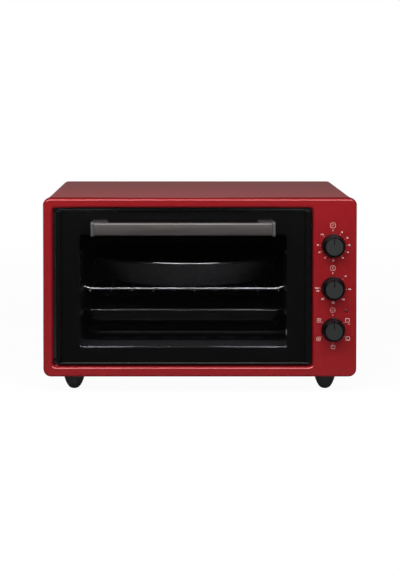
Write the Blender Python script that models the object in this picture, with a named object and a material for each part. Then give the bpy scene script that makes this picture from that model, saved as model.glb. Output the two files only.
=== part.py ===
import math

import bmesh
import bpy
from mathutils import Matrix, Vector

# Mini oven, in metres with +Z up. The front faces -Y, the feet stand on Z = 0,
# and X = 0, Y = 0 is the middle of the overall box.

# Housing
FRAME_WIDTH = 0.520
FRAME_HEIGHT = 0.297
BODY_DEPTH = 0.410
FOOT_HEIGHT = 0.028
FRAME_CORNER = 0.013
FRAME_EDGE = 0.003
FRAME_RETURN = 0.014
STILE_WIDTH = 0.0168
TOP_RAIL = 0.0176
BOTTOM_RAIL = 0.018
CONTROL_WIDTH = 0.0743
OPENING_CORNER = 0.0045
OPENING_RIM = 0.0024
PAINTED_SHEET = 0.0012
PLATED_SHEET = 0.0010
SEAT_GAP = 0.0004
OVERRUN = 0.005
COVER_START = 0.008
COVER_FLANGE = 0.018
BACK_FLANGE = 0.010
BACK_EDGE = 0.002
BACK_FIELD_MARGIN = 0.030
BACK_FIELD_DROP = 0.003
BACK_FIELD_CORNER = 0.012
BASE_RIM = 0.008
SMALLEST_CORNER = 0.0005

# Feet
FOOT_TOP_RADIUS = 0.0199
FOOT_TIP_RADIUS = 0.0050
FOOT_CURVE = 0.35
FOOT_SIDE = 0.0486
FOOT_SETBACK = 0.047

# Vents
SLOT_LENGTH = 0.046
SLOT_WIDTH = 0.0036
SLOT_PITCH = 0.0095
SIDE_SLOT_ROWS = 6
SIDE_SLOT_FRONT = 0.075
SIDE_SLOT_REAR = 0.085
SIDE_SLOT_DROP = 0.0445
BACK_SLOT_ROWS = 6
BACK_SLOT_DROP = 0.0545
BACK_SLOT_SPREAD = 0.075
BASE_SLOT_ROWS = 5
BASE_SLOT_SPREAD = 0.060

# Cavity
MOUTH_LEFT = 0.0418
MOUTH_RIGHT = 0.0371
MOUTH_FLOOR_RISE = 0.029
MOUTH_TOP_DROP = 0.0194
MOUTH_CORNER = 0.006
MOUTH_RIM = 0.001
MOUTH_COLLAR = 0.0056
MOUTH_LAP = 0.007
CAVITY_REAR_SPACE = 0.026
CAVITY_FLANGE = 0.008
BEAD_DEPTH = 0.007
BEAD_TOP_WIDTH = 0.003
BEAD_FOOT = 0.006
TRAY_LEVEL_SHARE = 0.270
RACK_LEVEL_SHARE = 0.456
UPPER_LEVEL_SHARE = 0.751
PAD_COLUMNS = 6
PAD_ROWS = 5
PAD_WIDTH = 0.028
PAD_LENGTH = 0.030
PAD_PITCH_X = 0.0500
PAD_PITCH_Y = 0.0460
PAD_FIRST_ROW = 0.0976
PAD_RISE = 0.0015
PAD_TAPER = 0.002
BACK_EMBOSS_MARGIN = 0.040
BACK_EMBOSS = 0.004

# Heaters
HEATER_RADIUS = 0.00325
HEATER_RUNS = 6
HEATER_PITCH = 0.057
HEATER_FIRST_RUN = 0.0496
HEATER_SIDE_GAP = 0.013
HEATER_FLOOR_RISE = 0.015
HEATER_TOP_DROP = 0.013
HEATER_TAIL = 0.014
BUSH_NECK_RADIUS = 0.0052
BUSH_FLANGE_RADIUS = 0.0085
BUSH_FLANGE = 0.004
BUSH_NECK = 0.003
BULB_RADIUS = 0.0025
BULB_LENGTH = 0.090
BULB_DROP = 0.026
BULB_START = 0.100
CAPILLARY_RADIUS = 0.0008
CAPILLARY_HOLE = 0.0025

# Door
DOOR_GAP_LEFT = 0.0050
DOOR_GAP_RIGHT = 0.0017
DOOR_GAP_TOP = 0.0030
DOOR_GAP_BOTTOM = 0.0040
DOOR_THICKNESS = 0.013
DOOR_CORNER = 0.004
DOOR_EDGE = 0.002
DOOR_SHEET = 0.0010
GLASS_THICKNESS = 0.004
GLASS_BORDER_LEFT = 0.0080
GLASS_BORDER_RIGHT = 0.0097
GLASS_LIP = 0.0010
GLASS_CORNER = 0.002
WINDOW_LEFT = 0.0364
WINDOW_RIGHT = 0.0371
WINDOW_BOTTOM = 0.0233
WINDOW_TOP = 0.0372
WINDOW_CORNER = 0.006
INNER_GLASS = 0.003
INNER_GLASS_LAP = 0.012
HINGE_RISE = 0.0035
HINGE_SETBACK = 0.007
HINGE_PIN_RADIUS = 0.0020
HINGE_PIN_INSIDE = 0.008
HINGE_BRACKET = 0.005
HINGE_BRACKET_HEIGHT = 0.018
HINGE_BRACKET_DEPTH = 0.011

# Handle
HANDLE_REACH = 0.045
HANDLE_INSET_LEFT = 0.0601
HANDLE_INSET_RIGHT = 0.0616
HANDLE_DROP = 0.0146
BAR_HEIGHT = 0.0211
BAR_THICKNESS = 0.009
BAR_EDGE = 0.0025
CAP_HEIGHT = 0.0244
CAP_WIDTH = 0.0054
CAP_DEPTH = 0.0105
ARM_WIDTH = 0.0275
ARM_HEIGHT = 0.0228
ARM_EDGE = 0.003

# Controls
KNOB_SIDE = 0.0394
TIMER_RISE_SHARE = 0.733
THERMOSTAT_RISE_SHARE = 0.495
SELECTOR_RISE_SHARE = 0.263
KNOB_RADIUS = 0.0195
KNOB_WAIST = 0.0162
KNOB_FACE_RADIUS = 0.0150
KNOB_HEIGHT = 0.0195
KNOB_SKIRT = 0.0028
KNOB_GAP = 0.0010
KNOB_BORE_DEPTH = 0.014
KNOB_EDGE = 0.0014
POINTER_LENGTH = 0.011
POINTER_WIDTH = 0.0016
POINTER_DEPTH = 0.0006
SHAFT_RADIUS = 0.003
SHAFT_END_GAP = 0.001
SHAFT_IN_BODY = 0.008
PANEL_HOLE_RADIUS = 0.0052
BRACKET_WIDTH = 0.030
BRACKET_DEPTH = 0.0120
BRACKET_OVERLAP = 0.022
NECK_RADIUS = 0.0047
NECK_LENGTH = 0.0075
TIMER_SIZE = 0.050
TIMER_DEPTH = 0.030
BELL_RADIUS = 0.021
BELL_DEPTH = 0.013
THERMOSTAT_SIZE = 0.042
THERMOSTAT_DEPTH = 0.028
SELECTOR_SIZE = 0.044
SELECTOR_DEPTH = 0.040
SWITCH_CORNER = 0.005
INDICATOR_SIDE = 0.0181
INDICATOR_RISE_SHARE = 0.3694
LENS_RADIUS = 0.0024
LENS_DOME = 0.0014
LENS_STEM = 0.009
LAMP_RADIUS = 0.0045
LAMP_LENGTH = 0.020

# Rack, tray and tin
WIRE_FRAME_RADIUS = 0.0025
WIRE_RADIUS = 0.0016
RACK_SIDE_GAP = 0.0015
RACK_FRONT = 0.0146
RACK_REAR_GAP = 0.018
RACK_DIP = 0.0052
RACK_KNEE = 0.0125
RACK_REST = 0.0065
RACK_BEND = 0.006
RACK_WIRES = 10
WIRE_SINK = 0.0006
TRAY_SIDE_GAP = 0.0020
TRAY_FRONT = 0.0146
TRAY_REAR_GAP = 0.020
TRAY_RIM_WIDTH = 0.0072
TRAY_RIM_HEIGHT = 0.0022
TRAY_HEIGHT = 0.0230
TRAY_TAPER = 0.014
TRAY_CORNER = 0.022
TRAY_FLOOR_EDGE = 0.004
TRAY_SHEET = 0.0010
TIN_SIDE_GAP = 0.0018
TIN_SHIFT = 0.0057
TIN_FRONT = 0.0171
TIN_HEIGHT = 0.045
TIN_SHEET = 0.0010
TIN_FLOOR_EDGE = 0.006
TIN_RIM_RADIUS = 0.0024
TIN_WALL_LEAN = 0.0290

# Back
GLAND_SIDE = 0.052
GLAND_RISE = 0.040
GLAND_RADIUS = 0.0085
GLAND_FLANGE_RADIUS = 0.0125
GLAND_PROUD = 0.008
GLAND_BORE = 0.0042
GLAND_SLOPE = 0.0021
TERMINAL_WIDTH = 0.044
TERMINAL_HEIGHT = 0.018
TERMINAL_DEPTH = 0.020
TERMINAL_GAP = 0.010
SHIELD_GAP = 0.027
SHIELD_FLANGE = 0.012

# Facets: steps of an arc, and sides of a round shape
CORNER_STEPS = 4
EDGE_STEPS = 3
SLOT_STEPS = 2
PAD_STEPS = 1
PLAN_STEPS = 2
HEATER_TURN_STEPS = 6
RACK_BEND_STEPS = 2
TIN_RIM_STEPS = 5
BELL_STEPS = 5
LENS_STEPS = 4
TUBE_STEPS = 2
ROD_SIDES = 6
HOLE_SIDES = 12
PANEL_HOLE_SIDES = 16
CAPILLARY_SIDES = 10
BUSH_SIDES = 14
SHAFT_SIDES = 14
GLAND_SIDES = 18
GLAND_HOLE_SIDES = 20
FOOT_SIDES = 20
BELL_SIDES = 20
KNOB_SIDES = 28
TIN_SIDES = 44
MERGE = 0.0000001
SHARP_ANGLE = math.radians(35)

# Finishes: sRGB colour, roughness, metallic
RED_PAINT = ((134, 26, 30), 0.35, 0.5)
RED_COVER = ((134, 60, 58), 0.40, 0.5)
BLACK_ENAMEL = ((14, 14, 15), 0.25, 0.0)
DARK_GLASS = ((16, 16, 18), 0.05, 0.0)
BLACK_PLASTIC = ((22, 22, 23), 0.30, 0.0)
ANTHRACITE = ((96, 90, 88), 0.38, 0.8)
ALUMINISED = ((150, 150, 156), 0.40, 0.9)
GALVANISED = ((166, 168, 172), 0.45, 0.9)
CHROME = ((205, 205, 210), 0.12, 1.0)
STEEL = ((120, 120, 124), 0.35, 1.0)
CERAMIC = ((222, 218, 208), 0.60, 0.0)
HEATER_STEEL = ((92, 90, 86), 0.45, 0.9)
BRASS = ((176, 144, 82), 0.30, 1.0)
LAMP_RED = ((120, 22, 18), 0.20, 0.0)

FRONT = -(BODY_DEPTH + GLAND_PROUD - HANDLE_REACH) / 2
LEFT = -FRAME_WIDTH / 2
RIGHT = FRAME_WIDTH / 2
BOTTOM = FOOT_HEIGHT
TOP = FOOT_HEIGHT + FRAME_HEIGHT


# Shapes

class Panel:
    """A rectangle with rounded corners, in two of the three axes."""

    def __init__(self, left, right, low, high, radius):
        self.left = left
        self.right = right
        self.low = low
        self.high = high
        self.radius = max(radius, SMALLEST_CORNER)

    def grown(self, amount):
        return Panel(self.left - amount, self.right + amount,
                     self.low - amount, self.high + amount, self.radius + amount)

    def outline(self, steps):
        centres = ((self.right - self.radius, self.high - self.radius),
                   (self.left + self.radius, self.high - self.radius),
                   (self.left + self.radius, self.low + self.radius),
                   (self.right - self.radius, self.low + self.radius))
        points = []
        for quarter, (across, up) in enumerate(centres):
            for step in range(steps + 1):
                angle = (quarter + step / steps) * math.pi / 2
                points.append((across + self.radius * math.cos(angle),
                               up + self.radius * math.sin(angle)))
        return points

    def facing(self, depth, steps=CORNER_STEPS):
        """The outline standing at a depth behind the front of the frame."""
        return [(x, FRONT + depth, z) for x, z in self.outline(steps)]

    def lying(self, height, steps=CORNER_STEPS):
        """The outline lying at a height, its second axis being Y."""
        return [(x, y, height) for x, y in self.outline(steps)]

    def sideways(self, x, steps=CORNER_STEPS):
        """The outline seen from the side, its axes being Y and Z."""
        return [(x, y, z) for y, z in self.outline(steps)]


def srgb_to_linear(channel):
    value = channel / 255
    if value <= 0.04045:
        return value / 12.92
    return ((value + 0.055) / 1.055) ** 2.4


def give_finish(piece, finish):
    colour, roughness, metallic = finish
    material = bpy.data.materials.new(piece.name)
    material.use_nodes = True
    shader = material.node_tree.nodes["Principled BSDF"]
    shader.inputs["Base Color"].default_value = [srgb_to_linear(c) for c in colour] + [1.0]
    shader.inputs["Roughness"].default_value = roughness
    shader.inputs["Metallic"].default_value = metallic
    piece.data.materials.append(material)


def add_object(name, bm, finish=None):
    """Turns a bmesh into an object with its faces pointing out."""
    bmesh.ops.recalc_face_normals(bm, faces=bm.faces)
    mesh = bpy.data.meshes.new(name)
    bm.to_mesh(mesh)
    bm.free()
    mesh.shade_smooth()
    mesh.set_sharp_from_angle(angle=SHARP_ANGLE)
    piece = bpy.data.objects.new(name, mesh)
    bpy.context.scene.collection.objects.link(piece)
    if finish:
        give_finish(piece, finish)
    return piece


def add_skin(bm, rings, closed=False):
    """Joins each ring of points to the next, with flat ends or back to the first ring."""
    loops = [[bm.verts.new(point) for point in ring] for ring in rings]
    pairs = list(zip(loops, loops[1:]))
    if closed:
        pairs.append((loops[-1], loops[0]))
    for near, far in pairs:
        for i in range(len(near)):
            j = (i + 1) % len(near)
            bm.faces.new((near[i], near[j], far[j], far[i]))
    if not closed:
        bm.faces.new(loops[0])
        bm.faces.new(loops[-1])


def skin(name, rings, finish=None, closed=False):
    bm = bmesh.new()
    add_skin(bm, rings, closed)
    return add_object(name, bm, finish)


def turned(name, profile, segments, finish=None, closed=False):
    """Spins a profile of (radius, height) points round Z, from the axis to the axis."""
    bm = bmesh.new()
    verts = [bm.verts.new((radius, 0, height)) for radius, height in profile]
    pairs = list(zip(verts, verts[1:]))
    if closed:
        pairs.append((verts[-1], verts[0]))
    edges = [bm.edges.new(pair) for pair in pairs]
    bmesh.ops.spin(bm, geom=verts + edges, cent=(0, 0, 0), axis=(0, 0, 1),
                   angle=2 * math.pi, steps=segments, use_merge=True)
    bmesh.ops.remove_doubles(bm, verts=bm.verts, dist=MERGE)
    return add_object(name, bm, finish)


def cylinder(name, radius, length, segments, finish=None):
    """A plain rod that stands on the origin along Z."""
    return turned(name, [(0, 0), (radius, 0), (radius, length), (0, length)], segments, finish)


def face_forward(piece, x, depth, z):
    """Turns a piece made along Z so that it points to the front, from a depth."""
    piece.rotation_euler = (math.pi / 2, 0, 0)
    piece.location = (x, FRONT + depth, z)


def face_right(piece, x, depth, z):
    """Turns a piece made along Z so that it points to the right."""
    piece.rotation_euler = (0, math.pi / 2, 0)
    piece.location = (x, FRONT + depth, z)


def carve(piece, cutter, operation="DIFFERENCE"):
    modifier = piece.modifiers.new(cutter.name, "BOOLEAN")
    modifier.operation = operation
    modifier.solver = "EXACT"
    modifier.object = cutter
    cutter.hide_render = True
    cutter.display_type = "WIRE"


def axis_empty(name, x, depth, z):
    empty = bpy.data.objects.new(name, None)
    empty.location = (x, FRONT + depth, z)
    bpy.context.scene.collection.objects.link(empty)
    return empty


def hang_on(empty, pieces):
    """Parents pieces to a joint's empty and leaves them where they are."""
    for piece in pieces:
        piece.parent = empty
        piece.matrix_parent_inverse = Matrix.Translation(empty.location).inverted()


def rounded_front(panel, radius):
    """Rings of a quarter round, from the side of a panel to its front at depth 0."""
    rings = []
    for step in range(EDGE_STEPS + 1):
        angle = step / EDGE_STEPS * math.pi / 2
        inset = radius * (1 - math.cos(angle))
        rings.append(panel.grown(-inset).facing(radius * (1 - math.sin(angle))))
    return rings


def rolled_mouth(panel, depth, radius, end):
    """Rings of a cutter that leaves a rolled rim at a depth round an opening."""
    rings = [panel.grown(radius).facing(depth - OVERRUN)]
    for step in range(EDGE_STEPS + 1):
        angle = step / EDGE_STEPS * math.pi / 2
        outset = radius * (1 - math.sin(angle))
        rings.append(panel.grown(outset).facing(depth + radius * (1 - math.cos(angle))))
    rings.append(panel.facing(end))
    return rings


def slot_cutter(name, slots, ring_at, start, end):
    """One cutter for a group of slots. ring_at gives a slot's ring at a level."""
    bm = bmesh.new()
    for slot in slots:
        add_skin(bm, [ring_at(slot, start), ring_at(slot, end)])
    return add_object(name, bm)


def offset_loop(points, distance):
    """A closed loop moved sideways by a distance, with mitred corners."""
    moved = []
    count = len(points)
    for i, point in enumerate(points):
        here = Vector(point)
        before = (here - Vector(points[i - 1])).normalized()
        after = (Vector(points[(i + 1) % count]) - here).normalized()
        normal_before = Vector((before.y, -before.x))
        normal_after = Vector((after.y, -after.x))
        mitre = (normal_before + normal_after) / (1 + normal_before.dot(normal_after))
        moved.append(tuple(here + mitre * distance))
    return moved


def eased_path(points, radius, steps, closed=False):
    """A path whose corners are replaced by arcs."""
    eased = []
    count = len(points)
    for i, point in enumerate(points):
        corner = Vector(point)
        if not closed and i in (0, count - 1):
            eased.append(corner)
            continue
        back = Vector(points[i - 1]) - corner
        ahead = Vector(points[(i + 1) % count]) - corner
        half = back.angle(ahead) / 2
        cut = min(radius / math.tan(half), back.length / 2, ahead.length / 2)
        bend = cut * math.tan(half)
        centre = corner + (back.normalized() + ahead.normalized()).normalized() * bend / math.sin(half)
        first_arm = corner + back.normalized() * cut - centre
        last_arm = corner + ahead.normalized() * cut - centre
        for step in range(steps + 1):
            arm = first_arm.lerp(last_arm, step / steps)
            eased.append(centre + arm.normalized() * bend)
    return eased


def rod_rings(points, radius, sides, closed=False):
    """Rings along a path that never runs upright."""
    rings = []
    count = len(points)
    for i, point in enumerate(points):
        if closed:
            along = Vector(points[(i + 1) % count]) - Vector(points[i - 1])
        else:
            along = Vector(points[min(i + 1, count - 1)]) - Vector(points[max(i - 1, 0)])
        along.normalize()
        side = along.cross(Vector((0, 0, 1))).normalized()
        upward = side.cross(along)
        ring = []
        for k in range(sides):
            angle = (k + 0.5) / sides * 2 * math.pi
            ring.append(tuple(Vector(point) + side * radius * math.cos(angle)
                              + upward * radius * math.sin(angle)))
        rings.append(ring)
    return rings


def tube(name, points, radius, finish, radius_shares=None):
    """A round tube along a path, as a curve with filled ends."""
    curve = bpy.data.curves.new(name, "CURVE")
    curve.dimensions = "3D"
    curve.bevel_depth = radius
    curve.bevel_resolution = TUBE_STEPS
    curve.use_fill_caps = True
    spline = curve.splines.new("POLY")
    spline.points.add(len(points) - 1)
    for i, point in enumerate(points):
        spline.points[i].co = (*point, 1)
        if radius_shares:
            spline.points[i].radius = radius_shares[i]
    piece = bpy.data.objects.new(name, curve)
    bpy.context.scene.collection.objects.link(piece)
    give_finish(piece, finish)
    return piece


def pan(name, panel, ring_of, face, rim, sheet, edge, finish):
    """A folded pan. face is the level of its outer face, and rim is the level of its edge."""
    inward = 1 if rim > face else -1
    rings = [ring_of(panel.grown(-sheet - edge), face + inward * sheet),
             ring_of(panel.grown(-sheet), face + inward * (sheet + edge)),
             ring_of(panel.grown(-sheet), rim),
             ring_of(panel, rim),
             ring_of(panel, face + inward * edge),
             ring_of(panel.grown(-edge), face)]
    return skin(name, rings, finish)


def standing_block(name, panel, start, end, finish):
    """A block whose outline faces the front, from one depth to another."""
    return skin(name, [panel.facing(start), panel.facing(end)], finish)


def add_dome(profile, radius, base, rise, steps):
    """Adds a quarter of an ellipse to a profile, from the edge of the dome to its top."""
    for step in range(1, steps):
        angle = step / steps * math.pi / 2
        profile.append((radius * math.cos(angle), base + rise * math.sin(angle)))
    profile.append((0, base + rise))


# Places that several pieces share

frame_panel = Panel(LEFT, RIGHT, BOTTOM, TOP, FRAME_CORNER)
opening = Panel(LEFT + STILE_WIDTH, RIGHT - CONTROL_WIDTH,
                BOTTOM + BOTTOM_RAIL, TOP - TOP_RAIL, OPENING_CORNER)
door_panel = Panel(opening.left + DOOR_GAP_LEFT, opening.right - DOOR_GAP_RIGHT,
                   opening.low + DOOR_GAP_BOTTOM, opening.high - DOOR_GAP_TOP, DOOR_CORNER)
cover_panel = frame_panel.grown(-PAINTED_SHEET - SEAT_GAP)
back_outline = cover_panel.grown(-PAINTED_SHEET - SEAT_GAP)
mouth = Panel(opening.left + MOUTH_LEFT, opening.right - MOUTH_RIGHT,
              opening.low + MOUTH_FLOOR_RISE, opening.high - MOUTH_TOP_DROP, MOUTH_CORNER)
window = Panel(door_panel.left + WINDOW_LEFT, door_panel.right - WINDOW_RIGHT,
               door_panel.low + WINDOW_BOTTOM, door_panel.high - WINDOW_TOP, WINDOW_CORNER)

hinge_depth = HINGE_SETBACK
hinge_z = door_panel.low + HINGE_RISE
knob_x = RIGHT - KNOB_SIDE
knob_heights = {"timer": BOTTOM + TIMER_RISE_SHARE * FRAME_HEIGHT,
                "thermostat": BOTTOM + THERMOSTAT_RISE_SHARE * FRAME_HEIGHT,
                "selector": BOTTOM + SELECTOR_RISE_SHARE * FRAME_HEIGHT}
indicator_x = RIGHT - INDICATOR_SIDE
indicator_z = BOTTOM + INDICATOR_RISE_SHARE * FRAME_HEIGHT

mouth_plate_front = FRAME_RETURN + SEAT_GAP
cavity_front = mouth_plate_front + MOUTH_COLLAR + SEAT_GAP
cavity_rear = BODY_DEPTH - CAVITY_REAR_SPACE
cavity_middle_x = (mouth.left + mouth.right) / 2
base_z = cover_panel.low + PAINTED_SHEET + SEAT_GAP
mouth_height = mouth.high - mouth.low
tray_ledge = mouth.low + TRAY_LEVEL_SHARE * mouth_height
rack_ledge = mouth.low + RACK_LEVEL_SHARE * mouth_height
upper_ledge = mouth.low + UPPER_LEVEL_SHARE * mouth_height
lower_heater_z = mouth.low + HEATER_FLOOR_RISE
upper_heater_z = mouth.high - HEATER_TOP_DROP
heater_first = cavity_front + HEATER_FIRST_RUN
heater_last = heater_first + (HEATER_RUNS - 1) * HEATER_PITCH
bulb_z = mouth.high - BULB_DROP
bulb_start = cavity_front + BULB_START
shield_x = mouth.right + SHIELD_GAP


# Housing

def make_front_frame():
    rings = [frame_panel.facing(FRAME_RETURN)] + rounded_front(frame_panel, FRAME_EDGE)
    frame = skin("front_frame", rings, RED_PAINT)
    inside = frame_panel.grown(-PAINTED_SHEET)
    carve(frame, skin("frame_hollow", [inside.facing(FRAME_RETURN + OVERRUN),
                                       inside.facing(FRAME_EDGE),
                                       frame_panel.grown(-FRAME_EDGE).facing(PAINTED_SHEET)]))
    collar = opening.grown(PAINTED_SHEET)
    carve(frame, skin("frame_collar", [collar.facing(PAINTED_SHEET / 2),
                                       collar.facing(FRAME_RETURN)]), "UNION")
    carve(frame, skin("frame_opening", rolled_mouth(opening, 0, OPENING_RIM,
                                                    FRAME_RETURN + OVERRUN)))
    for control, height in knob_heights.items():
        hole = cylinder(control + "_panel_hole", PANEL_HOLE_RADIUS, 2 * OVERRUN, PANEL_HOLE_SIDES)
        face_forward(hole, knob_x, OVERRUN, height)
        carve(frame, hole)
    hole = cylinder("indicator_hole", LENS_RADIUS + SEAT_GAP, 2 * OVERRUN, HOLE_SIDES)
    face_forward(hole, indicator_x, OVERRUN, indicator_z)
    carve(frame, hole)
    reach = opening.right - opening.left + 2 * OVERRUN
    hole = cylinder("hinge_pin_holes", HINGE_PIN_RADIUS + SEAT_GAP, reach, HOLE_SIDES)
    face_right(hole, opening.left - OVERRUN, hinge_depth, hinge_z)
    carve(frame, hole)


def make_outer_cover():
    cover = skin("outer_cover", [cover_panel.facing(COVER_START),
                                 cover_panel.facing(BODY_DEPTH)], RED_COVER)
    inside = cover_panel.grown(-PAINTED_SHEET)
    carve(cover, skin("cover_inside", [inside.facing(COVER_START - OVERRUN),
                                       inside.facing(BODY_DEPTH + OVERRUN)]))
    gap = Panel(cover_panel.left + COVER_FLANGE, cover_panel.right - COVER_FLANGE,
                cover_panel.low - OVERRUN, cover_panel.low + OVERRUN, 0)
    carve(cover, skin("cover_underside", [gap.facing(COVER_START - OVERRUN),
                                          gap.facing(BODY_DEPTH + OVERRUN)]))
    slots = []
    for middle in (SIDE_SLOT_FRONT, BODY_DEPTH - SIDE_SLOT_REAR):
        for row in range(SIDE_SLOT_ROWS):
            z = TOP - SIDE_SLOT_DROP - row * SLOT_PITCH
            y = FRONT + middle
            slots.append(Panel(y - SLOT_LENGTH / 2, y + SLOT_LENGTH / 2,
                               z - SLOT_WIDTH / 2, z + SLOT_WIDTH / 2, SLOT_WIDTH / 2))
    carve(cover, slot_cutter("side_vents", slots, lambda slot, x: slot.sideways(x, SLOT_STEPS),
                             cover_panel.right - OVERRUN, cover_panel.right + OVERRUN))


def make_back_panel():
    rear = BODY_DEPTH
    field = Panel(back_outline.left + BACK_FIELD_MARGIN, back_outline.right - BACK_FIELD_MARGIN,
                  back_outline.low + BACK_FIELD_MARGIN, back_outline.high - BACK_FIELD_MARGIN,
                  BACK_FIELD_CORNER)
    sunk = field.grown(-BACK_FIELD_DROP)
    rings = [sunk.facing(rear - BACK_FIELD_DROP - PLATED_SHEET),
             field.facing(rear - PLATED_SHEET),
             back_outline.grown(-PLATED_SHEET).facing(rear - PLATED_SHEET),
             back_outline.grown(-PLATED_SHEET).facing(rear - BACK_FLANGE),
             back_outline.facing(rear - BACK_FLANGE),
             back_outline.facing(rear - BACK_EDGE),
             back_outline.grown(-BACK_EDGE).facing(rear),
             field.facing(rear),
             sunk.facing(rear - BACK_FIELD_DROP)]
    panel = skin("back_panel", rings, GALVANISED)
    slots = []
    for side in (-1, 1):
        for row in range(BACK_SLOT_ROWS):
            x = side * BACK_SLOT_SPREAD
            z = TOP - BACK_SLOT_DROP - row * SLOT_PITCH
            slots.append(Panel(x - SLOT_LENGTH / 2, x + SLOT_LENGTH / 2,
                               z - SLOT_WIDTH / 2, z + SLOT_WIDTH / 2, SLOT_WIDTH / 2))
    carve(panel, slot_cutter("back_vents", slots,
                             lambda slot, depth: slot.facing(depth, SLOT_STEPS),
                             rear - BACK_FLANGE, rear + OVERRUN))
    hole = cylinder("gland_hole", GLAND_RADIUS + SEAT_GAP, BACK_FLANGE + OVERRUN,
                    GLAND_HOLE_SIDES)
    face_forward(hole, RIGHT - GLAND_SIDE, rear + OVERRUN, BOTTOM + GLAND_RISE)
    carve(panel, hole)


def make_base_panel():
    corner = back_outline.radius
    plan = Panel(back_outline.left + corner, back_outline.right - corner, FRONT + COVER_START,
                 FRONT + BODY_DEPTH - BACK_FLANGE - SEAT_GAP, FRAME_EDGE)
    base = pan("base_panel", plan, lambda panel, level: panel.lying(level, PLAN_STEPS),
               base_z, base_z + BASE_RIM, PLATED_SHEET, BACK_EDGE, GALVANISED)
    middle_y = (plan.low + plan.high) / 2
    slots = []
    for side in (-1, 1):
        for row in range(BASE_SLOT_ROWS):
            x = side * BASE_SLOT_SPREAD
            y = middle_y + (row - (BASE_SLOT_ROWS - 1) / 2) * SLOT_PITCH
            slots.append(Panel(x - SLOT_LENGTH / 2, x + SLOT_LENGTH / 2,
                               y - SLOT_WIDTH / 2, y + SLOT_WIDTH / 2, SLOT_WIDTH / 2))
    carve(base, slot_cutter("base_vents", slots,
                            lambda slot, level: slot.lying(level, SLOT_STEPS),
                            base_z - OVERRUN, base_z + OVERRUN))


def make_feet():
    height = base_z - SEAT_GAP
    profile = [(0, 0), (FOOT_TIP_RADIUS, 0)]
    height_shares = (0.03, 0.09, 0.20, 0.35, 0.52, 0.75, 1.0)
    for share in height_shares:
        profile.append((FOOT_TOP_RADIUS * share ** FOOT_CURVE, height * share))
    profile.append((0, height))
    places = {"foot_front_left": (LEFT + FOOT_SIDE, FOOT_SETBACK),
              "foot_front_right": (RIGHT - FOOT_SIDE, FOOT_SETBACK),
              "foot_rear_left": (LEFT + FOOT_SIDE, BODY_DEPTH - FOOT_SETBACK),
              "foot_rear_right": (RIGHT - FOOT_SIDE, BODY_DEPTH - FOOT_SETBACK)}
    for name, (x, depth) in places.items():
        foot = turned(name, profile, FOOT_SIDES, BLACK_PLASTIC)
        foot.location = (x, FRONT + depth, 0)


# Cavity

def bead_points(wall_x, inward, ledges):
    """Points up one side wall with a pressed bead under each ledge."""
    points = []
    for ledge in ledges:
        points.append((wall_x, ledge - BEAD_TOP_WIDTH - BEAD_FOOT))
        points.append((wall_x + inward * BEAD_DEPTH, ledge - BEAD_TOP_WIDTH))
        points.append((wall_x + inward * BEAD_DEPTH, ledge))
        points.append((wall_x, ledge))
    return points


def cavity_loop():
    """The cavity's inner wall, seen from the front, with its guide beads."""
    ledges = (tray_ledge, rack_ledge, upper_ledge)
    corners = mouth.outline(CORNER_STEPS)
    quarter = CORNER_STEPS + 1
    right_side = bead_points(mouth.right, -1, ledges)
    left_side = bead_points(mouth.left, 1, ledges)
    return (corners[:2 * quarter] + left_side[::-1] + corners[2 * quarter:] + right_side)


def make_cavity_mouth():
    plate = opening.grown(MOUTH_LAP)
    front = mouth_plate_front
    piece = skin("cavity_mouth", [plate.facing(front), plate.facing(front + PLATED_SHEET)],
                 ALUMINISED)
    collar = mouth.grown(PLATED_SHEET)
    carve(piece, skin("mouth_collar", [collar.facing(front + PLATED_SHEET / 2),
                                       collar.facing(front + MOUTH_COLLAR)]), "UNION")
    carve(piece, skin("mouth_cut", rolled_mouth(mouth, front, MOUTH_RIM,
                                                front + MOUTH_COLLAR + OVERRUN)))


def make_cavity_wrap():
    inner = cavity_loop()
    outer = offset_loop(inner, PLATED_SHEET)

    def at(loop, depth):
        return [(x, FRONT + depth, z) for x, z in loop]

    rings = [at(outer, cavity_front), at(outer, cavity_rear),
             at(inner, cavity_rear), at(inner, cavity_front)]
    wrap = skin("cavity_wrap", rings, ALUMINISED, closed=True)
    bm = bmesh.new()
    first_x = cavity_middle_x - (PAD_COLUMNS - 1) / 2 * PAD_PITCH_X
    for column in range(PAD_COLUMNS):
        for row in range(PAD_ROWS):
            x = first_x + column * PAD_PITCH_X
            y = FRONT + cavity_front + PAD_FIRST_ROW + row * PAD_PITCH_Y
            pad = Panel(x - PAD_WIDTH / 2, x + PAD_WIDTH / 2,
                        y - PAD_LENGTH / 2, y + PAD_LENGTH / 2, PAD_TAPER)
            add_skin(bm, [pad.lying(mouth.low - PLATED_SHEET / 2, PAD_STEPS),
                          pad.lying(mouth.low, PAD_STEPS),
                          pad.grown(-PAD_TAPER).lying(mouth.low + PAD_RISE, PAD_STEPS)])
    carve(wrap, add_object("floor_pads", bm), "UNION")
    places = [(depth, z) for depth in (heater_first, heater_last)
              for z in (lower_heater_z, upper_heater_z)]
    for number, (depth, z) in enumerate(places):
        hole = cylinder("heater_hole_%d" % number, BUSH_NECK_RADIUS + SEAT_GAP, 2 * OVERRUN,
                        HOLE_SIDES)
        face_right(hole, mouth.right - OVERRUN / 2, depth, z)
        carve(wrap, hole)
    hole = cylinder("capillary_hole", CAPILLARY_HOLE, 2 * OVERRUN, CAPILLARY_SIDES)
    face_right(hole, mouth.right - OVERRUN / 2, bulb_start + BULB_LENGTH + BEAD_DEPTH, bulb_z)
    carve(wrap, hole)


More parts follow.
